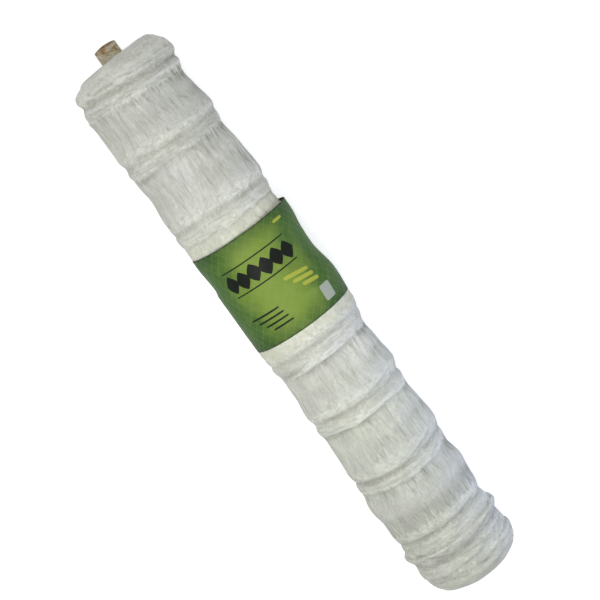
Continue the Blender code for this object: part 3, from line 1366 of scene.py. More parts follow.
    def __call__(self, at: Rows, angle: Rows) -> tuple[Rows, dict[str, Rows]]:
        """Work out the relief's height and what the material reads.

        Args:
            at: places along the roll.
            angle: angles around it.

        Returns:
            The height at each point, and values named for the material.
        """
        wrapped = self.form.wrapped
        share = at / self.form.sizes.width
        flat = np.zeros(np.broadcast(at, angle).shape)
        marks = Marks(flat, flat, flat, flat)
        drift = self.wander * self.slow(share, angle)
        self.gathers(at, angle, drift, marks)
        self.creases(at, angle, drift, marks)
        bent = angle + self.bend_angle * self.bend(share, angle)
        pillow = self.pillow * self.pillows(share, angle)
        streak = 0.42 * self.broad_streaks(share, bent) + 0.58 * self.fine_streaks(share, bent)
        bunch = 0.5 * self.hoops(share, angle + self.hoop_twist * share) + 0.8 * self.knots(share, angle)
        height = marks.height + self.streak * (streak + pillow) * (1.0 - marks.gathered)
        height = height + self.bunch * (bunch + pillow) * marks.gathered
        height = height * (1.0 - wrapped(at, 0.006)) - self.under_wrapper * wrapped(at, 0.004)
        warmth = 0.05 + 0.8 * wrapped(at, 0.075) + 0.10 * marks.gathered
        hollow = np.clip(marks.hollow, 0.0, 1.0)
        return height, {
            "gathered": marks.gathered,
            "hollow": hollow,
            "crest": marks.crest * (1.0 - hollow),
            "warmth": np.clip(warmth, 0.0, 1.0),
        }


@dataclass
class NettingSkin:
    """The wound netting's surface, as two closed pieces that meet under the wrapper."""

    form: WoundForm
    relief: Relief
    columns: int = 372
    gather_row: float = 0.0034
    panel_row: float = 0.0064
    hidden_row: float = 0.030
    face_rows: int = 14
    shoulder_rows: int = 16
    rows_before: float = 0.02           # close rows start so far before a crest
    rows_after: float = 0.016           # and end so far past a step
    hidden_after: float = 0.012         # the rows are hidden from here past the wrapper's start
    hidden_before: float = 0.045        # to here before its end
    cut: float = 0.80                   # where the two pieces meet
    cut_gap: float = 0.001
    least_height: float = 0.0013
    face_relief: float = 0.0022
    face_tilt: float = 0.0055
    face_run: float = 0.17              # an end face's run is measured from this radius
    swirl_size: float = 0.14
    swirl_turn: float = 14.0            # radians for each metre out from the axis
    swirl_ease: float = 0.012
    tilt_reach: float = 0.12            # the first face's tilt has gone this far along
    tilt_full: float = 0.08             # and is full this far out from the bore
    raised_from: float = 0.02           # the least height is kept from here out

    def body_rows(self, start: float, end: float) -> list[float]:
        """Place the rows of the body, close together where it is gathered.

        Args:
            start: where they start along the roll.
            end: where they end.

        Returns:
            The rows' places.
        """
        sizes = self.form.sizes
        rows, at = [], start
        while at < end:
            rows.append(at)
            gathered = any(
                gather.at - gather.lead - self.rows_before
                < at
                < gather.at + sizes.step_after + self.rows_after
                for gather in GATHERS
            )
            hidden_end = sizes.wrapper_end - self.hidden_before
            if sizes.wrapper_start + self.hidden_after < at < hidden_end:
                at += self.hidden_row
            else:
                at += self.gather_row if gathered else self.panel_row
        return rows + [end]

    def end_rows(self, radius: float, size: float) -> list[tuple[float, ...]]:
        """Place one end's rows from the bore out to the body.

        Args:
            radius: the body's radius where the shoulder starts.
            size: the shoulder's size.

        Returns:
            Radius, distance from the end face, and the outline's radial and outward
            parts, for each row.
        """
        sizes = self.form.sizes
        rows = []
        for k in range(self.face_rows):
            away = (radius - size - sizes.bore) * k / self.face_rows
            dish = sizes.face_dish * (1.0 - min(away / sizes.bore / 1.5, 1.0)) ** 2
            rows.append((sizes.bore + away, dish, 0.0, 1.0))
        for k in range(self.shoulder_rows):
            turn = math.pi / 2 * k / self.shoulder_rows
            up, out = math.sin(turn), math.cos(turn)
            rows.append((radius - size * (1 - up), size * (1 - out), up, out))
        return rows

    def outline(self, first: bool) -> Rows:
        """Work out one piece's closed outline.

        Args:
            first: whether it is the one where the core sticks out.

        Returns:
            Radius, place, and the outward direction's two parts, row by row.
        """
        sizes, half = self.form.sizes, self.cut_gap / 2
        if first:
            body = self.body_rows(sizes.first_shoulder, self.cut - half)
            ends = self.end_rows(sizes.first_radius, sizes.first_shoulder)
            face = [(radius, inset, up, -out) for radius, inset, up, out in ends]
        else:
            body = self.body_rows(self.cut + half, sizes.width - sizes.second_shoulder)
            ends = self.end_rows(sizes.second_radius, sizes.second_shoulder)[::-1]
            face = [(radius, sizes.width - inset, up, out) for radius, inset, up, out in ends]
        side = [(float(self.form.section(at)[0]), at, 1.0, 0.0) for at in body]
        if first:
            return np.array([(sizes.bore, body[-1], 0.0, 0.0)] + face + side)
        return np.array(side + face + [(sizes.bore, body[0], 0.0, 0.0)])

    def build(self, name: str, first: bool) -> Piece:
        """Wind an outline into a piece, pressed out of round, with the relief on it.

        Args:
            name: the piece's name.
            first: whether it is the one where the core sticks out.

        Returns:
            The piece, a closed mesh with its values for the material.
        """
        sizes, outline = self.form.sizes, self.outline(first)
        radius, at, up, out = (outline[:, k, None] for k in range(4))
        angle, flat = all_round(self.columns), np.abs(out)
        away = radius - sizes.bore
        inner = sizes.first_radius - sizes.first_shoulder - sizes.bore
        mean, _ = self.form.section(at)
        pressed = radius + smooth(away / inner) * (self.form.radius(at, angle) - mean)
        height, values = self.relief(at, angle)
        swirl = self.relief.swirls(away / self.swirl_size, angle + self.swirl_turn * radius)
        swirl = swirl * flat * smooth(away / self.swirl_ease)
        height = height * up + self.face_relief * swirl
        values["gathered"] = np.maximum(values["gathered"], smooth(flat * 1.6))
        values["run"] = at + (self.face_run - radius) * np.sign(out) + 0.0 * angle
        tilt = -self.face_tilt * np.sin(angle) * smooth(1.0 - at / self.tilt_reach)
        tilted = at + tilt * np.clip(away / self.tilt_full, 0.0, 1.0) + height * out
        points = self.form.place(pressed + height * up, angle, tilted, sizes.flat_depth)
        floor = self.least_height * (away > self.raised_from)
        points[..., 2] = np.maximum(points[..., 2], floor)
        piece = grid_mesh(name, points, True)
        for label, numbers in values.items():
            mark(piece, label, numbers)
        return piece


@dataclass(frozen=True)
class Lay:
    """How one batch of strands lies: sizes in metres, turns in radians.

    The names are those of the strand tree's inputs.
    """

    count: int
    steps: int
    radius: float
    start: float = 0.0
    span: float = 0.0
    scatter: float = 0.0
    turn: float = 0.0
    turn_scatter: float = 0.45
    wander: float = 0.0
    lift: float = 0.0002
    slant: float = 0.0
    lock: int = 1
    fan: float = 0.10
    onto_face: float = 0.0


class NetTree(Group):
    """What the geometry trees that lay net over a surface share."""

    ray_start = 0.26            # how far from the roll's axis a ray starts
    ray_length = 0.25

    def __init__(self, name: str, inputs: dict[str, float]) -> None:
        """Make the tree; every one has a surface, a seed, a radius and a finish.

        Args:
            name: the tree's name.
            inputs: its own inputs.
        """
        shared = {
            "Surface": Kind.GEOMETRY,
            "Count": 100,
            "Seed": 1,
            "Radius": 0.0006,
            "Axis": Kind.VECTOR,
            "Finish": Kind.MATERIAL,
        }
        super().__init__(name, shared | inputs, "Net", Kind.GEOMETRY, "GeometryNodeTree")

    def chance(self, index: Value, salt: int, low: float, high: float) -> Socket:
        """Return one random number for each index.

        Args:
            index: what the number belongs to.
            salt: keeps the numbers of one index apart.
            low: the least.
            high: the most.

        Returns:
            The number.
        """
        seed = self.math("ADD", self.given["Seed"], 100.0 * salt)
        inputs = {2: low, 3: high, 7: index, 8: seed}
        return self.add("FunctionNodeRandomValue", inputs, data_type="FLOAT").outputs[1]

    def scaled(self, vector: Value, scale: Value) -> Socket:
        """Return a vector times a number."""
        inputs = {0: vector, "Scale": scale}
        return self.add("ShaderNodeVectorMath", inputs, operation="SCALE").outputs[0]

    def struck(self, start: Value, direction: Value, lift: Value) -> Socket:
        """Return where a ray meets the surface, lifted off it and kept above the floor.

        Args:
            start: where the ray starts.
            direction: where it goes.
            lift: how far the place is lifted along the surface's normal.

        Returns:
            The place.
        """
        inputs = {
            "Target Geometry": self.given["Surface"],
            "Source Position": start,
            "Ray Direction": direction,
            "Ray Length": self.ray_length,
        }
        hit = self.add("GeometryNodeRaycast", inputs).outputs
        x, y, z = self.split(self.vector("ADD", hit[1], self.scaled(hit[2], lift)))
        return self.combine(x, y, self.math("MAXIMUM", z, self.given["Radius"]))

    def marked(self, count: Value, place: Value, tone: Value) -> Socket:
        """Make points that carry a tone.

        Args:
            count: how many.
            place: where each is.
            tone: how bright each is, from 0 to 1.

        Returns:
            The points.
        """
        points = self.add("GeometryNodePoints", {0: count, 1: place}).outputs[0]
        inputs = {0: points, 2: "tone", 3: tone}
        kind = {"data_type": "FLOAT", "domain": "POINT"}
        return self.add("GeometryNodeStoreNamedAttribute", inputs, **kind).outputs[0]

    def finished(self, net: Value) -> None:
        """Make instances real, set the material and put the net out.

        Args:
            net: the net's geometry.
        """
        real = self.add("GeometryNodeRealizeInstances", {0: net}).outputs[0]
        dressed = self.add("GeometryNodeSetMaterial", {0: real, 2: self.given["Finish"]})
        self.feed(self.result, dressed.outputs[0])

    def grow(self, surface: Piece, form: WoundForm, finish: Material, **values: float) -> Mesh:
        """Run the tree on a surface and keep what it makes as a plain mesh.

        Args:
            surface: the piece that the net lies on.
            form: the wound body's form.
            finish: the net's material.
            **values: its inputs by name, with underscores for spaces.

        Returns:
            The plain mesh.
        """
        inputs = {name.replace("_", " ").title(): value for name, value in values.items()}
        inputs |= {"Axis": tuple(form.origin), "Finish": finish}
        host = bpy.data.objects.new("host", surface.data)
        bpy.context.scene.collection.objects.link(host)
        modifier = host.modifiers.new("Grow", "NODES")
        modifier.node_group = self.tree
        for item in self.tree.interface.items_tree:
            if item.in_out == "INPUT" and item.name in inputs:
                modifier[item.identifier] = inputs[item.name]
        evaluated = host.evaluated_get(bpy.context.evaluated_depsgraph_get())
        made = bpy.data.meshes.new_from_object(evaluated)
        bpy.data.objects.remove(host, do_unlink=True)
        return made


class StrandTree(NetTree):
    """Lays strands over the wound surface in locks that fan out from one end.

    With Onto Face at 0 they lie on the roll's side, and with 1 or -1 on its first or second
    end face, where Start is the distance from the axis.
    """

    own = {
        "Steps": 10,
        "Lock": 1,
        "Fan": 0.0,
        "Start": 0.0,
        "Span": 0.1,
        "Scatter": 0.01,
        "Turn": 0.0,
        "Turn Scatter": 0.1,
        "Wander": 0.004,
        "Slant": 0.0,
        "Lift": 0.0004,
        "Onto Face": 0.0,
        "Length": 1.98,
    }
    least_length = 0.55         # the shortest strand's share of a full one
    face_gap = 0.1              # how far from an end face a ray starts
    lock_tilt = 0.8             # share of its tilt that a strand has from its lock
    lock_shift = 0.6            # the same share of its shift along the roll
    unfanned = 0.25             # how spread a lock is where it is pinched

    def __init__(self) -> None:
        """Build the tree."""
        super().__init__("laid_strands", self.own)
        given = self.given
        index = self.add("GeometryNodeInputIndex").outputs[0]
        strand = self.math("FLOOR", self.math("DIVIDE", index, given["Steps"]))
        step = self.minus(index, self.times(strand, given["Steps"]))
        share = self.math("DIVIDE", step, self.minus(given["Steps"], 1.0))
        lock = self.math("FLOOR", self.math("DIVIDE", strand, given["Lock"]))
        middle = self.times(self.minus(share, 0.5), self.chance(strand, 4, self.least_length, 1.0))
        angle = self.turned_to(strand, lock, share, middle)
        along = self.shifted(strand, lock, share, middle, angle)
        total = self.times(given["Count"], given["Steps"])
        place = self.struck(*self.aimed(angle, along), given["Lift"])
        points = self.marked(total, place, self.chance(strand, 3, 0.0, 1.0))
        curves = self.add("GeometryNodePointsToCurves", {0: points, 1: strand}).outputs[0]
        round_of = {0: 3, 4: given["Radius"]}
        section = self.add("GeometryNodeCurvePrimitiveCircle", round_of, mode="RADIUS").outputs[0]
        tubes = self.add("GeometryNodeCurveToMesh", {0: curves, 1: section, 3: True})
        self.finished(tubes.outputs[0])

    def turned_to(self, strand: Value, lock: Value, share: Value, middle: Value) -> Socket:
        """Return each point's angle around the roll.

        Args:
            strand: the strand's number.
            lock: its lock's number.
            share: how far along the strand the point is, from 0 to 1.
            middle: how far it is from the strand's middle, in full lengths.

        Returns:
            The angle, in radians.
        """
        given = self.given
        tilt = self.weighed(
            (self.chance(lock, 1, -1.0, 1.0), self.lock_tilt),
            (self.chance(strand, 6, -1.0, 1.0), 1.0 - self.lock_tilt),
        )
        sweep = self.sloped(tilt, given["Turn Scatter"], given["Turn"])
        base = self.sloped(sweep, middle, self.chance(lock, 0, 0.0, TURN))
        pinch = self.math("GREATER_THAN", self.chance(lock, 7, 0.0, 1.0), 0.5)
        fanned = self.sloped(self.off(share, pinch), 1.0 - self.unfanned, self.unfanned)
        spread = self.times(self.chance(strand, 5, -1.0, 1.0), given["Fan"])
        return self.sloped(spread, fanned, base)

    def shifted(
        self, strand: Value, lock: Value, share: Value, middle: Value, angle: Value
    ) -> Socket:
        """Return each point's place along the roll, or away from its axis on a face.

        Args:
            strand: the strand's number.
            lock: its lock's number.
            share: how far along the strand the point is, from 0 to 1.
            middle: how far it is from the strand's middle, in full lengths.
            angle: the point's angle.

        Returns:
            The place, in metres.
        """
        given = self.given
        shift = self.weighed(
            (self.chance(lock, 2, -1.0, 1.0), self.lock_shift),
            (self.chance(strand, 8, -1.0, 1.0), 1.0 - self.lock_shift),
        )
        slow = self.combine(self.times(share, 2.4), self.times(strand, 7.31), given["Seed"])
        wave = self.sloped(self.noise(slow, 1.0, 1.0, 0.5), 4.0, -2.0)
        along = self.sloped(given["Span"], middle, given["Start"])
        along = self.sloped(shift, given["Scatter"], along)
        along = self.sloped(wave, given["Wander"], along)
        return self.sloped(self.math("SINE", angle), given["Slant"], along)

    def aimed(self, angle: Value, along: Value) -> tuple[Socket, Socket]:
        """Aim each point's ray at the roll's side or at one of its faces.

        Args:
            angle: the point's angle around the roll.
            along: its place along the roll, or away from its axis on a face.

        Returns:
            Where the ray starts, and where it goes.
        """
        face = self.given["Onto Face"]
        flat = self.math("ABSOLUTE", face)
        round_side = self.minus(1.0, flat)
        outward = self.combine(0.0, self.math("SINE", angle), self.math("COSINE", angle))
        from_axis = self.sloped(flat, along, self.times(round_side, self.ray_start))
        second = self.times(self.minus(1.0, face), 0.5)
        beyond = self.sloped(second, self.given["Length"], self.times(face, -self.face_gap))
        foot_x = self.sloped(flat, beyond, self.times(round_side, along))
        foot = self.vector("ADD", self.combine(foot_x, 0.0, 0.0), self.given["Axis"])
        start = self.vector("ADD", foot, self.scaled(outward, from_axis))
        inward = self.scaled(outward, self.times(round_side, -1.0))
        return start, self.vector("ADD", inward, self.combine(face, 0.0, 0.0))


class KnotTree(NetTree):
    """Scatters small knots of net over the gathers."""

    def __init__(self) -> None:
        """Build the tree."""
        super().__init__("net_knots", {"Start": 0.0, "Scatter": 0.02, "Slant": 0.0})
        given = self.given
        index = self.add("GeometryNodeInputIndex").outputs[0]
        angle = self.chance(index, 0, 0.0, TURN)
        side, up = self.math("SINE", angle), self.math("COSINE", angle)
        along = self.sloped(side, given["Slant"], given["Start"])
        along = self.sloped(self.chance(index, 1, -1.0, 1.0), given["Scatter"], along)
        outward = self.combine(0.0, side, up)
        foot = self.vector("ADD", self.combine(along, 0.0, 0.0), given["Axis"])
        start = self.vector("ADD", foot, self.scaled(outward, self.ray_start))
        place = self.struck(start, self.scaled(outward, -1.0), 0.0)
        points = self.marked(given["Count"], place, self.chance(index, 4, 0.4, 1.0))
        bead = self.add("GeometryNodeMeshIcoSphere", {0: given["Radius"], 1: 1}).outputs[0]
        spread = ((2, 1.4), (3, 1.8), (5, 1.0))
        size = self.combine(*(self.chance(index, salt, 0.5, most) for salt, most in spread))
        knots = self.add("GeometryNodeInstanceOnPoints", {0: points, 2: bead, 6: size})
        self.finished(knots.outputs[0])


def joined(name: str, meshes: list[Mesh]) -> Piece:
    """Join plain meshes with a "tone" value into one object.

    Args:
        name: the object's name.
        meshes: the meshes, which are removed.

    Returns:
        The new object, linked to the scene.
    """
    places, corners, starts, tones = [], [], [], []
    points = faces_from = 0
    for mesh in meshes:
        places.append(read(mesh.vertices, "co", 3, np.float32))
        corners.append(read(mesh.loops, "vertex_index", 1, np.int32) + points)
        starts.append(read(mesh.polygons, "loop_start", 1, np.int32) + faces_from)
        tones.append(read(mesh.attributes["tone"].data, "value", 1, np.float32))
        points += len(mesh.vertices)
        faces_from += len(mesh.loops)
        bpy.data.meshes.remove(mesh)
    piece = plain_mesh(name, *map(np.concatenate, (places, corners, starts)))
    mark(piece, "tone", np.concatenate(tones))
    return piece


@dataclass
class LooseStrands:
    """Strands and knots that show on the wound surface, batch by batch."""

    form: WoundForm
    tree: StrandTree
    knots: KnotTree
    finish: Material
    locks: Lay = Lay(520, 7, 0.00045, turn_scatter=0.38, lift=0.0001, lock=5)
    short: Lay = Lay(260, 4, 0.0006, turn_scatter=0.16, lift=0.0001, lock=2, fan=0.03)
    stray: Lay = Lay(24, 14, 0.0008, turn_scatter=0.50, lift=0.0004, wander=0.006)
    rings: Lay = Lay(120, 12, 0.0007, 0.0, 0.004, 0.022, 0.65, wander=0.003, lock=3)
    crests: Lay = Lay(140, 7, 0.0006, 0.0, 0.045, 0.018, 0.0, 0.55, 0.003, lock=2, fan=0.06)
    folds: Lay = Lay(90, 14, 0.0007, 0.0, 0.055, 0.014, 0.9, 0.25, 0.004, lock=2)
    loops: Lay = Lay(420, 9, 0.0006, 0.092, 0.012, 0.044, 0.55, wander=0.003, lock=3, fan=0.12)
    spokes: Lay = Lay(140, 6, 0.0006, 0.092, 0.06, 0.020, 0.0, wander=0.003, lock=2, fan=0.08)
    panel_after: float = 0.030          # a panel's strands start so far past its groove
    panel_before: float = 0.055         # and stop so far from the second end
    tuck: float = 0.004                 # they go so far under the wrapper's edges
    crest_back: float = 0.6             # share of the lead at which crest strands lie
    fold_back: float = 0.020
    knots_back: float = 0.006
    knots_reach: float = 0.042
    knots_each: int = 300
    end_knots: int = 260
    knot_radius: float = 0.0012

    def panels(self, first: bool) -> list[tuple[int, float, float]]:
        """Find the bare panels of one piece.

        Args:
            first: whether it is the piece where the core sticks out.

        Returns:
            The number, start and end of each.
        """
        sizes = self.form.sizes
        found = []
        for number, (gather, after) in enumerate(zip(GATHERS, GATHERS[1:] + (None,))):
            start = gather.at + self.panel_after
            end = after.at - after.lead * 0.5 if after else sizes.width - self.panel_before
            if number == UNDER_WRAPPER - 1:
                end = sizes.wrapper_start + self.tuck
            elif number == UNDER_WRAPPER:
                start = sizes.wrapper_end - self.tuck
            if (gather.at < sizes.wrapper_start) == first:
                found.append((number, start, end))
        return found

    def bare(self, first: bool) -> list[tuple[int, Gather]]:
        """Find the gathers of one piece that show.

        Args:
            first: whether it is the piece where the core sticks out.

        Returns:
            The number and sizes of each.
        """
        edge = self.form.sizes.wrapper_start
        found = [pair for pair in enumerate(GATHERS) if pair[0] != UNDER_WRAPPER]
        return [(number, gather) for number, gather in found if (gather.at < edge) == first]

    def laid(self, surface: Piece, batches: list[tuple[int, Lay]]) -> list[Mesh]:
        """Lay batches of strands.

        Args:
            surface: the piece that they lie on.
            batches: the seed and the lay of each.

        Returns:
            Plain meshes of the strands.
        """
        shared = {"surface": surface, "form": self.form, "finish": self.finish}
        length = self.form.sizes.width
        return [
            self.tree.grow(**shared, length=length, seed=seed, **asdict(lay))
            for seed, lay in batches
        ]

    def along(self, surface: Piece, first: bool) -> list[Mesh]:
        """Lay the strands that run along the panels.

        Args:
            surface: the piece that they lie on.
            first: whether it is the piece where the core sticks out.

        Returns:
            Plain meshes of the strands.
        """
        kinds = (
            (31, self.locks, 0.95, 0.10),
            (81, self.short, 0.45, 0.35),
            (131, self.stray, 0.80, 0.15),
        )
        batches = []
        for number, start, end in self.panels(first):
            middle, size = (start + end) / 2, end - start
            for seed, lay, span, scatter in kinds:
                fitted = replace(lay, start=middle, span=size * span, scatter=size * scatter)
                batches.append((seed + number, fitted))
        return self.laid(surface, batches)

    def around(self, surface: Piece, first: bool) -> list[Mesh]:
        """Lay the strands around the rings, across the crests and on the end face.

        Args:
            surface: the piece that they lie on.
            first: whether it is the piece where the core sticks out.

        Returns:
            Plain meshes of the strands.
        """
        batches = []
        for number, gather in self.bare(first):
            at, slant, seed = gather.at, gather.slant, 61 + 10 * number
            ring, crest = self.form.sizes.ring_after, gather.lead * self.crest_back
            rings = replace(self.rings, start=at + ring, slant=slant)
            crests = replace(self.crests, start=at - crest, slant=slant)
            batches += [(seed, rings), (seed + 1, crests)]
            if number == len(GATHERS) - 1:
                folds = replace(self.folds, start=at - self.fold_back)
                batches += [(seed + 2, folds), (seed + 3, replace(folds, turn=-folds.turn))]
        for seed, lay in ((171, self.loops), (172, self.spokes)):
            batches.append((seed, replace(lay, onto_face=1.0 if first else -1.0)))
        return self.laid(surface, batches)

    def beads(self, surface: Piece, first: bool) -> list[Mesh]:
        """Scatter the knots on the gathers.

        Args:
            surface: the piece that they lie on.
            first: whether it is the piece where the core sticks out.

        Returns:
            Plain meshes of the knots.
        """
        bands = [
            (211 + n, self.knots_each, gather.at - self.knots_back, self.knots_reach, gather.slant)
            for n, gather in self.bare(first)
        ]
        end, scatter = (0.022, 0.026) if first else (self.form.sizes.width - 0.062, 0.050)
        bands.append((241, self.end_knots, end, scatter, 0.0))
        names = ("seed", "count", "start", "scatter", "slant")
        shared = {"surface": surface, "form": self.form, "finish": self.finish}
        return [
            self.knots.grow(**shared, radius=self.knot_radius, **dict(zip(names, band)))
            for band in bands
        ]


# ---- core, wrapper, studio -----------------------------------------------------------
@dataclass
class CoreTube:
    """The paper core, with its proud end worn and rubbed."""

    form: WoundForm
    columns: int = 120
    proud_rows: int = 18
    inner_rows: int = 16
    flush_rows: int = 8
    chamfer: float = 0.0012
    wall_margin: float = 0.002          # the bore's side stays smooth up to here
    burr: float = 0.0008
    burr_reach: float = 0.006
    worn_from: float = 0.03             # how far out of the netting the rim's wear is full
    seam_depth: float = 0.00035
    dent_depth: float = 0.0004
    wear: Unevenness = Unevenness(41, 26, 30)
    dents: Unevenness = Unevenness(42, 9, 40)

    def outline(self) -> Rows:
        """Work out the tube's closed outline.

        Returns:
            Radius and place, row by row.
        """
        sizes, chamfer = self.form.sizes, self.chamfer
        inner, outer = sizes.core_outer - sizes.core_wall, sizes.core_outer
        first, last = -sizes.core_proud, sizes.width
        places = np.concatenate([
            np.linspace(first + chamfer, 0.02, self.proud_rows),
            np.linspace(0.06, last - 0.03, self.inner_rows),
            np.linspace(last - 0.02, last - chamfer, self.flush_rows),
        ])
        outside = [(outer, at) for at in places]
        inside = [(inner, at) for at in places[::-1]]
        flush = [(outer - chamfer, last), (inner + chamfer, last)]
        proud = [(inner + chamfer, first), (outer - chamfer, first)]
        return np.array(outside + flush + inside + proud)

    def build(self) -> Piece:
        """Build the core.

        Returns:
            The piece, a closed tube.
        """
        sizes, outline = self.form.sizes, self.outline()
        radius, at = outline[:, 0, None], outline[:, 1, None]
        angle = all_round(self.columns)
        first = -sizes.core_proud
        outside = radius > sizes.core_outer - sizes.core_wall + self.wall_margin
        worn = sizes.edge_wear * np.sin(angle) ** 2 * smooth(-at / self.worn_from)
        frayed = self.burr * np.abs(self.wear(0.5 + 0.0 * at, angle))
        frayed = frayed * bell(at - first, self.burr_reach)
        seam = self.seam_depth * bell((at / PLY_PITCH + angle / TURN) % 1.0 - 0.5, 0.012)
        share = (at - first) / (sizes.width - first)
        dented = (self.dent_depth * self.dents(share, angle) - seam) * outside * (at < 0.0)
        moved = at + worn + frayed
        points = self.form.place(radius - np.abs(dented), angle, moved, sizes.flat_depth)
        return grid_mesh("core_paper_tube", points, True)


@dataclass
class Wrapper:
    """The printed film around the middle, its end lapped over its start."""

    form: WoundForm
    seam: float = math.radians(-142)
    lap: float = 0.055
    mean_radius: float = 0.1735         # where the sheet's lengths are measured
    thickness: float = 0.00035
    columns: int = 300
    rows: int = 64
    buckle: float = 0.0007
    edge_wave: float = 0.0016
    lift: float = 0.0006
    lap_lift: float = 0.0006
    lap_drop: float = 0.0005
    lap_from: float = 0.06              # radians before the lap at which the film rises
    lap_ease: float = 0.08
    fold_share: float = 0.7
    slack_share: float = 0.5
    folds: Unevenness = Unevenness(51, 26, 5)
    slack: Unevenness = Unevenness(52, 9, 7)
    edge: Unevenness = Unevenness(53, 12, 3)

    @property
    def around(self) -> float:
        """Length of the sheet around the roll, without its lap."""
        return TURN * self.mean_radius

    @property
    def width(self) -> float:
        """Size of the sheet along the roll."""
        return self.form.sizes.wrapper_end - self.form.sizes.wrapper_start

    def build(self) -> Piece:
        """Build the wrapper.

        Returns:
            The piece, a thin closed sheet with its own flat coordinates.
        """
        sizes, form = self.form.sizes, self.form
        sweep = TURN + self.lap / self.mean_radius
        share = np.linspace(0.0, 1.0, self.columns)[None, :]
        down = np.linspace(0.0, 1.0, self.rows)[:, None]
        angle = self.seam + sweep * share
        wave = self.edge_wave * np.abs(2.0 * down - 1.0) ** 6 * self.edge(down, angle)
        at = sizes.wrapper_start + self.width * down + wave
        lapped = smooth((sweep * share - TURN + self.lap_from) / self.lap_ease)
        buckled = self.fold_share * self.folds(down, angle)
        buckled = buckled + self.slack_share * self.slack(down, angle)
        radius = form.radius(np.maximum(at, sizes.grip_start), angle) + sizes.clearance
        radius = radius + self.lift + lapped * (self.thickness + self.lap_lift)
        depth = sizes.flat_depth - sizes.wrapper_lift - 2.5 * self.thickness
        depth = depth - self.lap_drop * (1.0 - lapped)
        points = form.place(radius + self.buckle * buckled, angle, at, depth)
        piece = grid_mesh("printed_wrapper", points, False)
        around, along = np.broadcast_arrays(angle * self.mean_radius, down * self.width)
        spread = np.stack([around, along], axis=-1).reshape(-1, 2)
        corners = read(piece.data.loops, "vertex_index", 1, np.int32)
        flat = piece.data.uv_layers.new(name="sheet")
        flat.data.foreach_set("uv", spread[corners].astype(np.float32).ravel())
        self.thicken(piece)
        return piece

    def thicken(self, piece: Piece) -> None:
        """Give the sheet its thickness, outwards.

        Args:
            piece: the sheet.
        """
        sheet = piece.modifiers.new("Film", "SOLIDIFY")
        sheet.thickness = self.thickness
        sheet.offset = 1.0
        evaluated = piece.evaluated_get(bpy.context.evaluated_depsgraph_get())
        thick = bpy.data.meshes.new_from_object(evaluated)
        thick.name = piece.name
        piece.modifiers.clear()
        piece.data = thick


class Light(NamedTuple):
    """One large soft light that faces the roll: its side in metres, its power in watts."""

    name: str
    place: tuple[float, float, float]
    size: float
    power: float
    color: tuple[float, float, float]


LIGHTS = (
    Light("key_light", (0.0, -0.42, 1.70), 0.9, 11.0, (1.0, 1.0, 0.97)),
    Light("top_light", (-0.6, 0.0, 6.6), 4.0, 40.0, (1.0, 1.0, 0.99)),
    Light("end_light", (-2.0, -1.1, 1.2), 0.8, 3.6, (1.0, 1.0, 0.97)),
    Light("side_light", (0.40, 1.3, 1.5), 0.8, 2.6, (0.96, 0.97, 1.0)),
    Light("cool_light", (0.9, 1.2, 0.5), 0.5, 4.5, (0.35, 0.45, 1.0)),
)


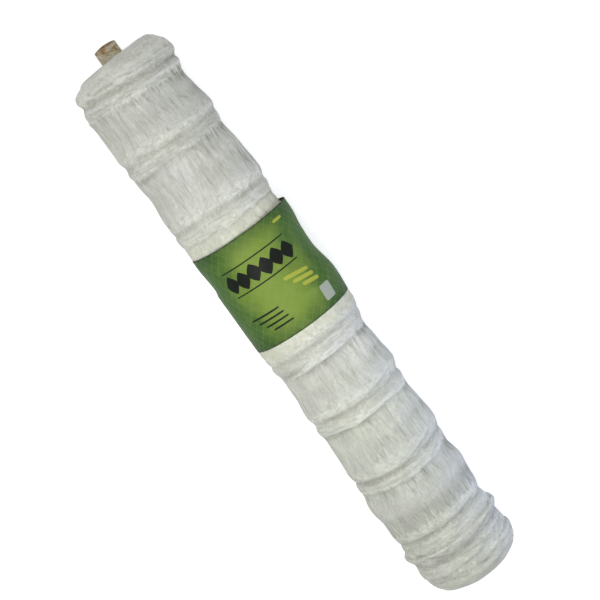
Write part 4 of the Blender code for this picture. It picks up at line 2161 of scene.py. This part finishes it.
@dataclass
class Studio:
    """The pale floor, soft lights and camera."""

    form: WoundForm
    floor_size: float = 14.0
    floor_steps: int = 24
    flat_share: float = 0.75            # the floor curves up beyond this share of it
    rise: float = 1.2
    above: tuple[float, float, float] = (0.1215, 0.0341, 5.5703)
    lens: float = 108.12
    tilt: float = math.radians(8.338)
    roll: float = math.radians(54.2818)

    def floor(self, groups: Groups) -> None:
        """Lay the floor, gently curved up at its edges.

        Args:
            groups: the shared effects.
        """
        span = np.linspace(-1.0, 1.0, self.floor_steps + 1)
        x, y = np.meshgrid(span, span, indexing="ij")
        rise = self.rise * np.clip(np.hypot(x, y) - self.flat_share, 0.0, None) ** 2
        half = self.floor_size / 2
        floor = grid_mesh("studio_floor", np.stack([x * half, y * half, rise], axis=-1), False)
        floor.data.materials.append(FloorFinish().build(groups))

    @staticmethod
    def lights() -> None:
        """Add the lights and the pale surroundings."""
        for light in LIGHTS:
            lamp = bpy.data.lights.new(light.name, "AREA")
            lamp.shape, lamp.size = "SQUARE", light.size
            lamp.energy, lamp.color = light.power, light.color
            holder = bpy.data.objects.new(light.name, lamp)
            holder.location = light.place
            facing = Vector((0.0, 0.0, 0.1)) - Vector(light.place)
            holder.rotation_euler = facing.to_track_quat("-Z", "Y").to_euler()
            bpy.context.scene.collection.objects.link(holder)
        world = bpy.data.worlds.new("studio")
        world.use_nodes = True
        sky = Graph(world.node_tree)
        background = world.node_tree.nodes["Background"].inputs
        seen = sky.add("ShaderNodeLightPath").outputs["Is Camera Ray"]
        sky.feed(background["Color"], (1.0, 1.0, 1.0, 1.0))
        sky.feed(background["Strength"], sky.sloped(seen, 0.35, 0.6))
        bpy.context.scene.world = world
        bpy.context.scene.view_settings.view_transform = "Standard"

    def camera(self) -> None:
        """Set the camera above the roll, turned so that the roll runs down to the right."""
        view = bpy.data.cameras.new("camera")
        view.lens = self.lens
        holder = bpy.data.objects.new("camera", view)
        back = Vector((-math.sin(self.tilt), 0.0, math.cos(self.tilt)))
        level = Vector((math.cos(self.tilt), 0.0, math.sin(self.tilt)))
        side = Vector((0.0, 1.0, 0.0))
        right = math.cos(self.roll) * level + math.sin(self.roll) * side
        up = math.cos(self.roll) * side - math.sin(self.roll) * level
        facing = Matrix((right, up, back)).transposed().to_4x4()
        holder.matrix_world = Matrix.Translation(self.form.origin + Vector(self.above)) @ facing
        bpy.context.scene.collection.objects.link(holder)
        bpy.context.scene.camera = holder


def main() -> None:
    """Build the dressed roll, piece by piece."""
    logging.basicConfig(level=logging.INFO, format="%(name)s: %(message)s")
    sizes = RollSizes()
    form = WoundForm(sizes)
    groups = Groups(StreakGroup(), SpeckGroup(), PatchGroup())
    wound = NettingFinish().build(groups, form.origin)
    middle = form.origin.x + (sizes.wrapper_start + sizes.wrapper_end) / 2
    strand = StrandFinish().build(groups, middle)

    skin = NettingSkin(form, Relief(form))
    loose = LooseStrands(form, StrandTree(), KnotTree(), strand)
    for first in (True, False):
        part = "first" if first else "second"
        surface = skin.build(f"netting_{part}", first)
        dress(surface, wound, "netting")
        batches = {
            "strands_along": loose.along(surface, first),
            "strands_around": loose.around(surface, first),
            "knots": loose.beads(surface, first),
        }
        for label, meshes in batches.items():
            dress(joined(f"{label}_{part}", meshes), strand, "netting")

    paper = PaperFinish().build(groups, form.origin.x - sizes.core_proud, form.origin)
    dress(CoreTube(form).build(), paper, "core_tube")

    film = Wrapper(form)
    wrapper = film.build()
    printed = WrapperFinish(film.width, film.around).build(groups)
    dress(wrapper, printed, "wrapper")
    film.around + film.lap

    studio = Studio(form)
    studio.floor(groups)
    studio.lights()
    studio.camera()


if __name__ == "__main__":
    main()
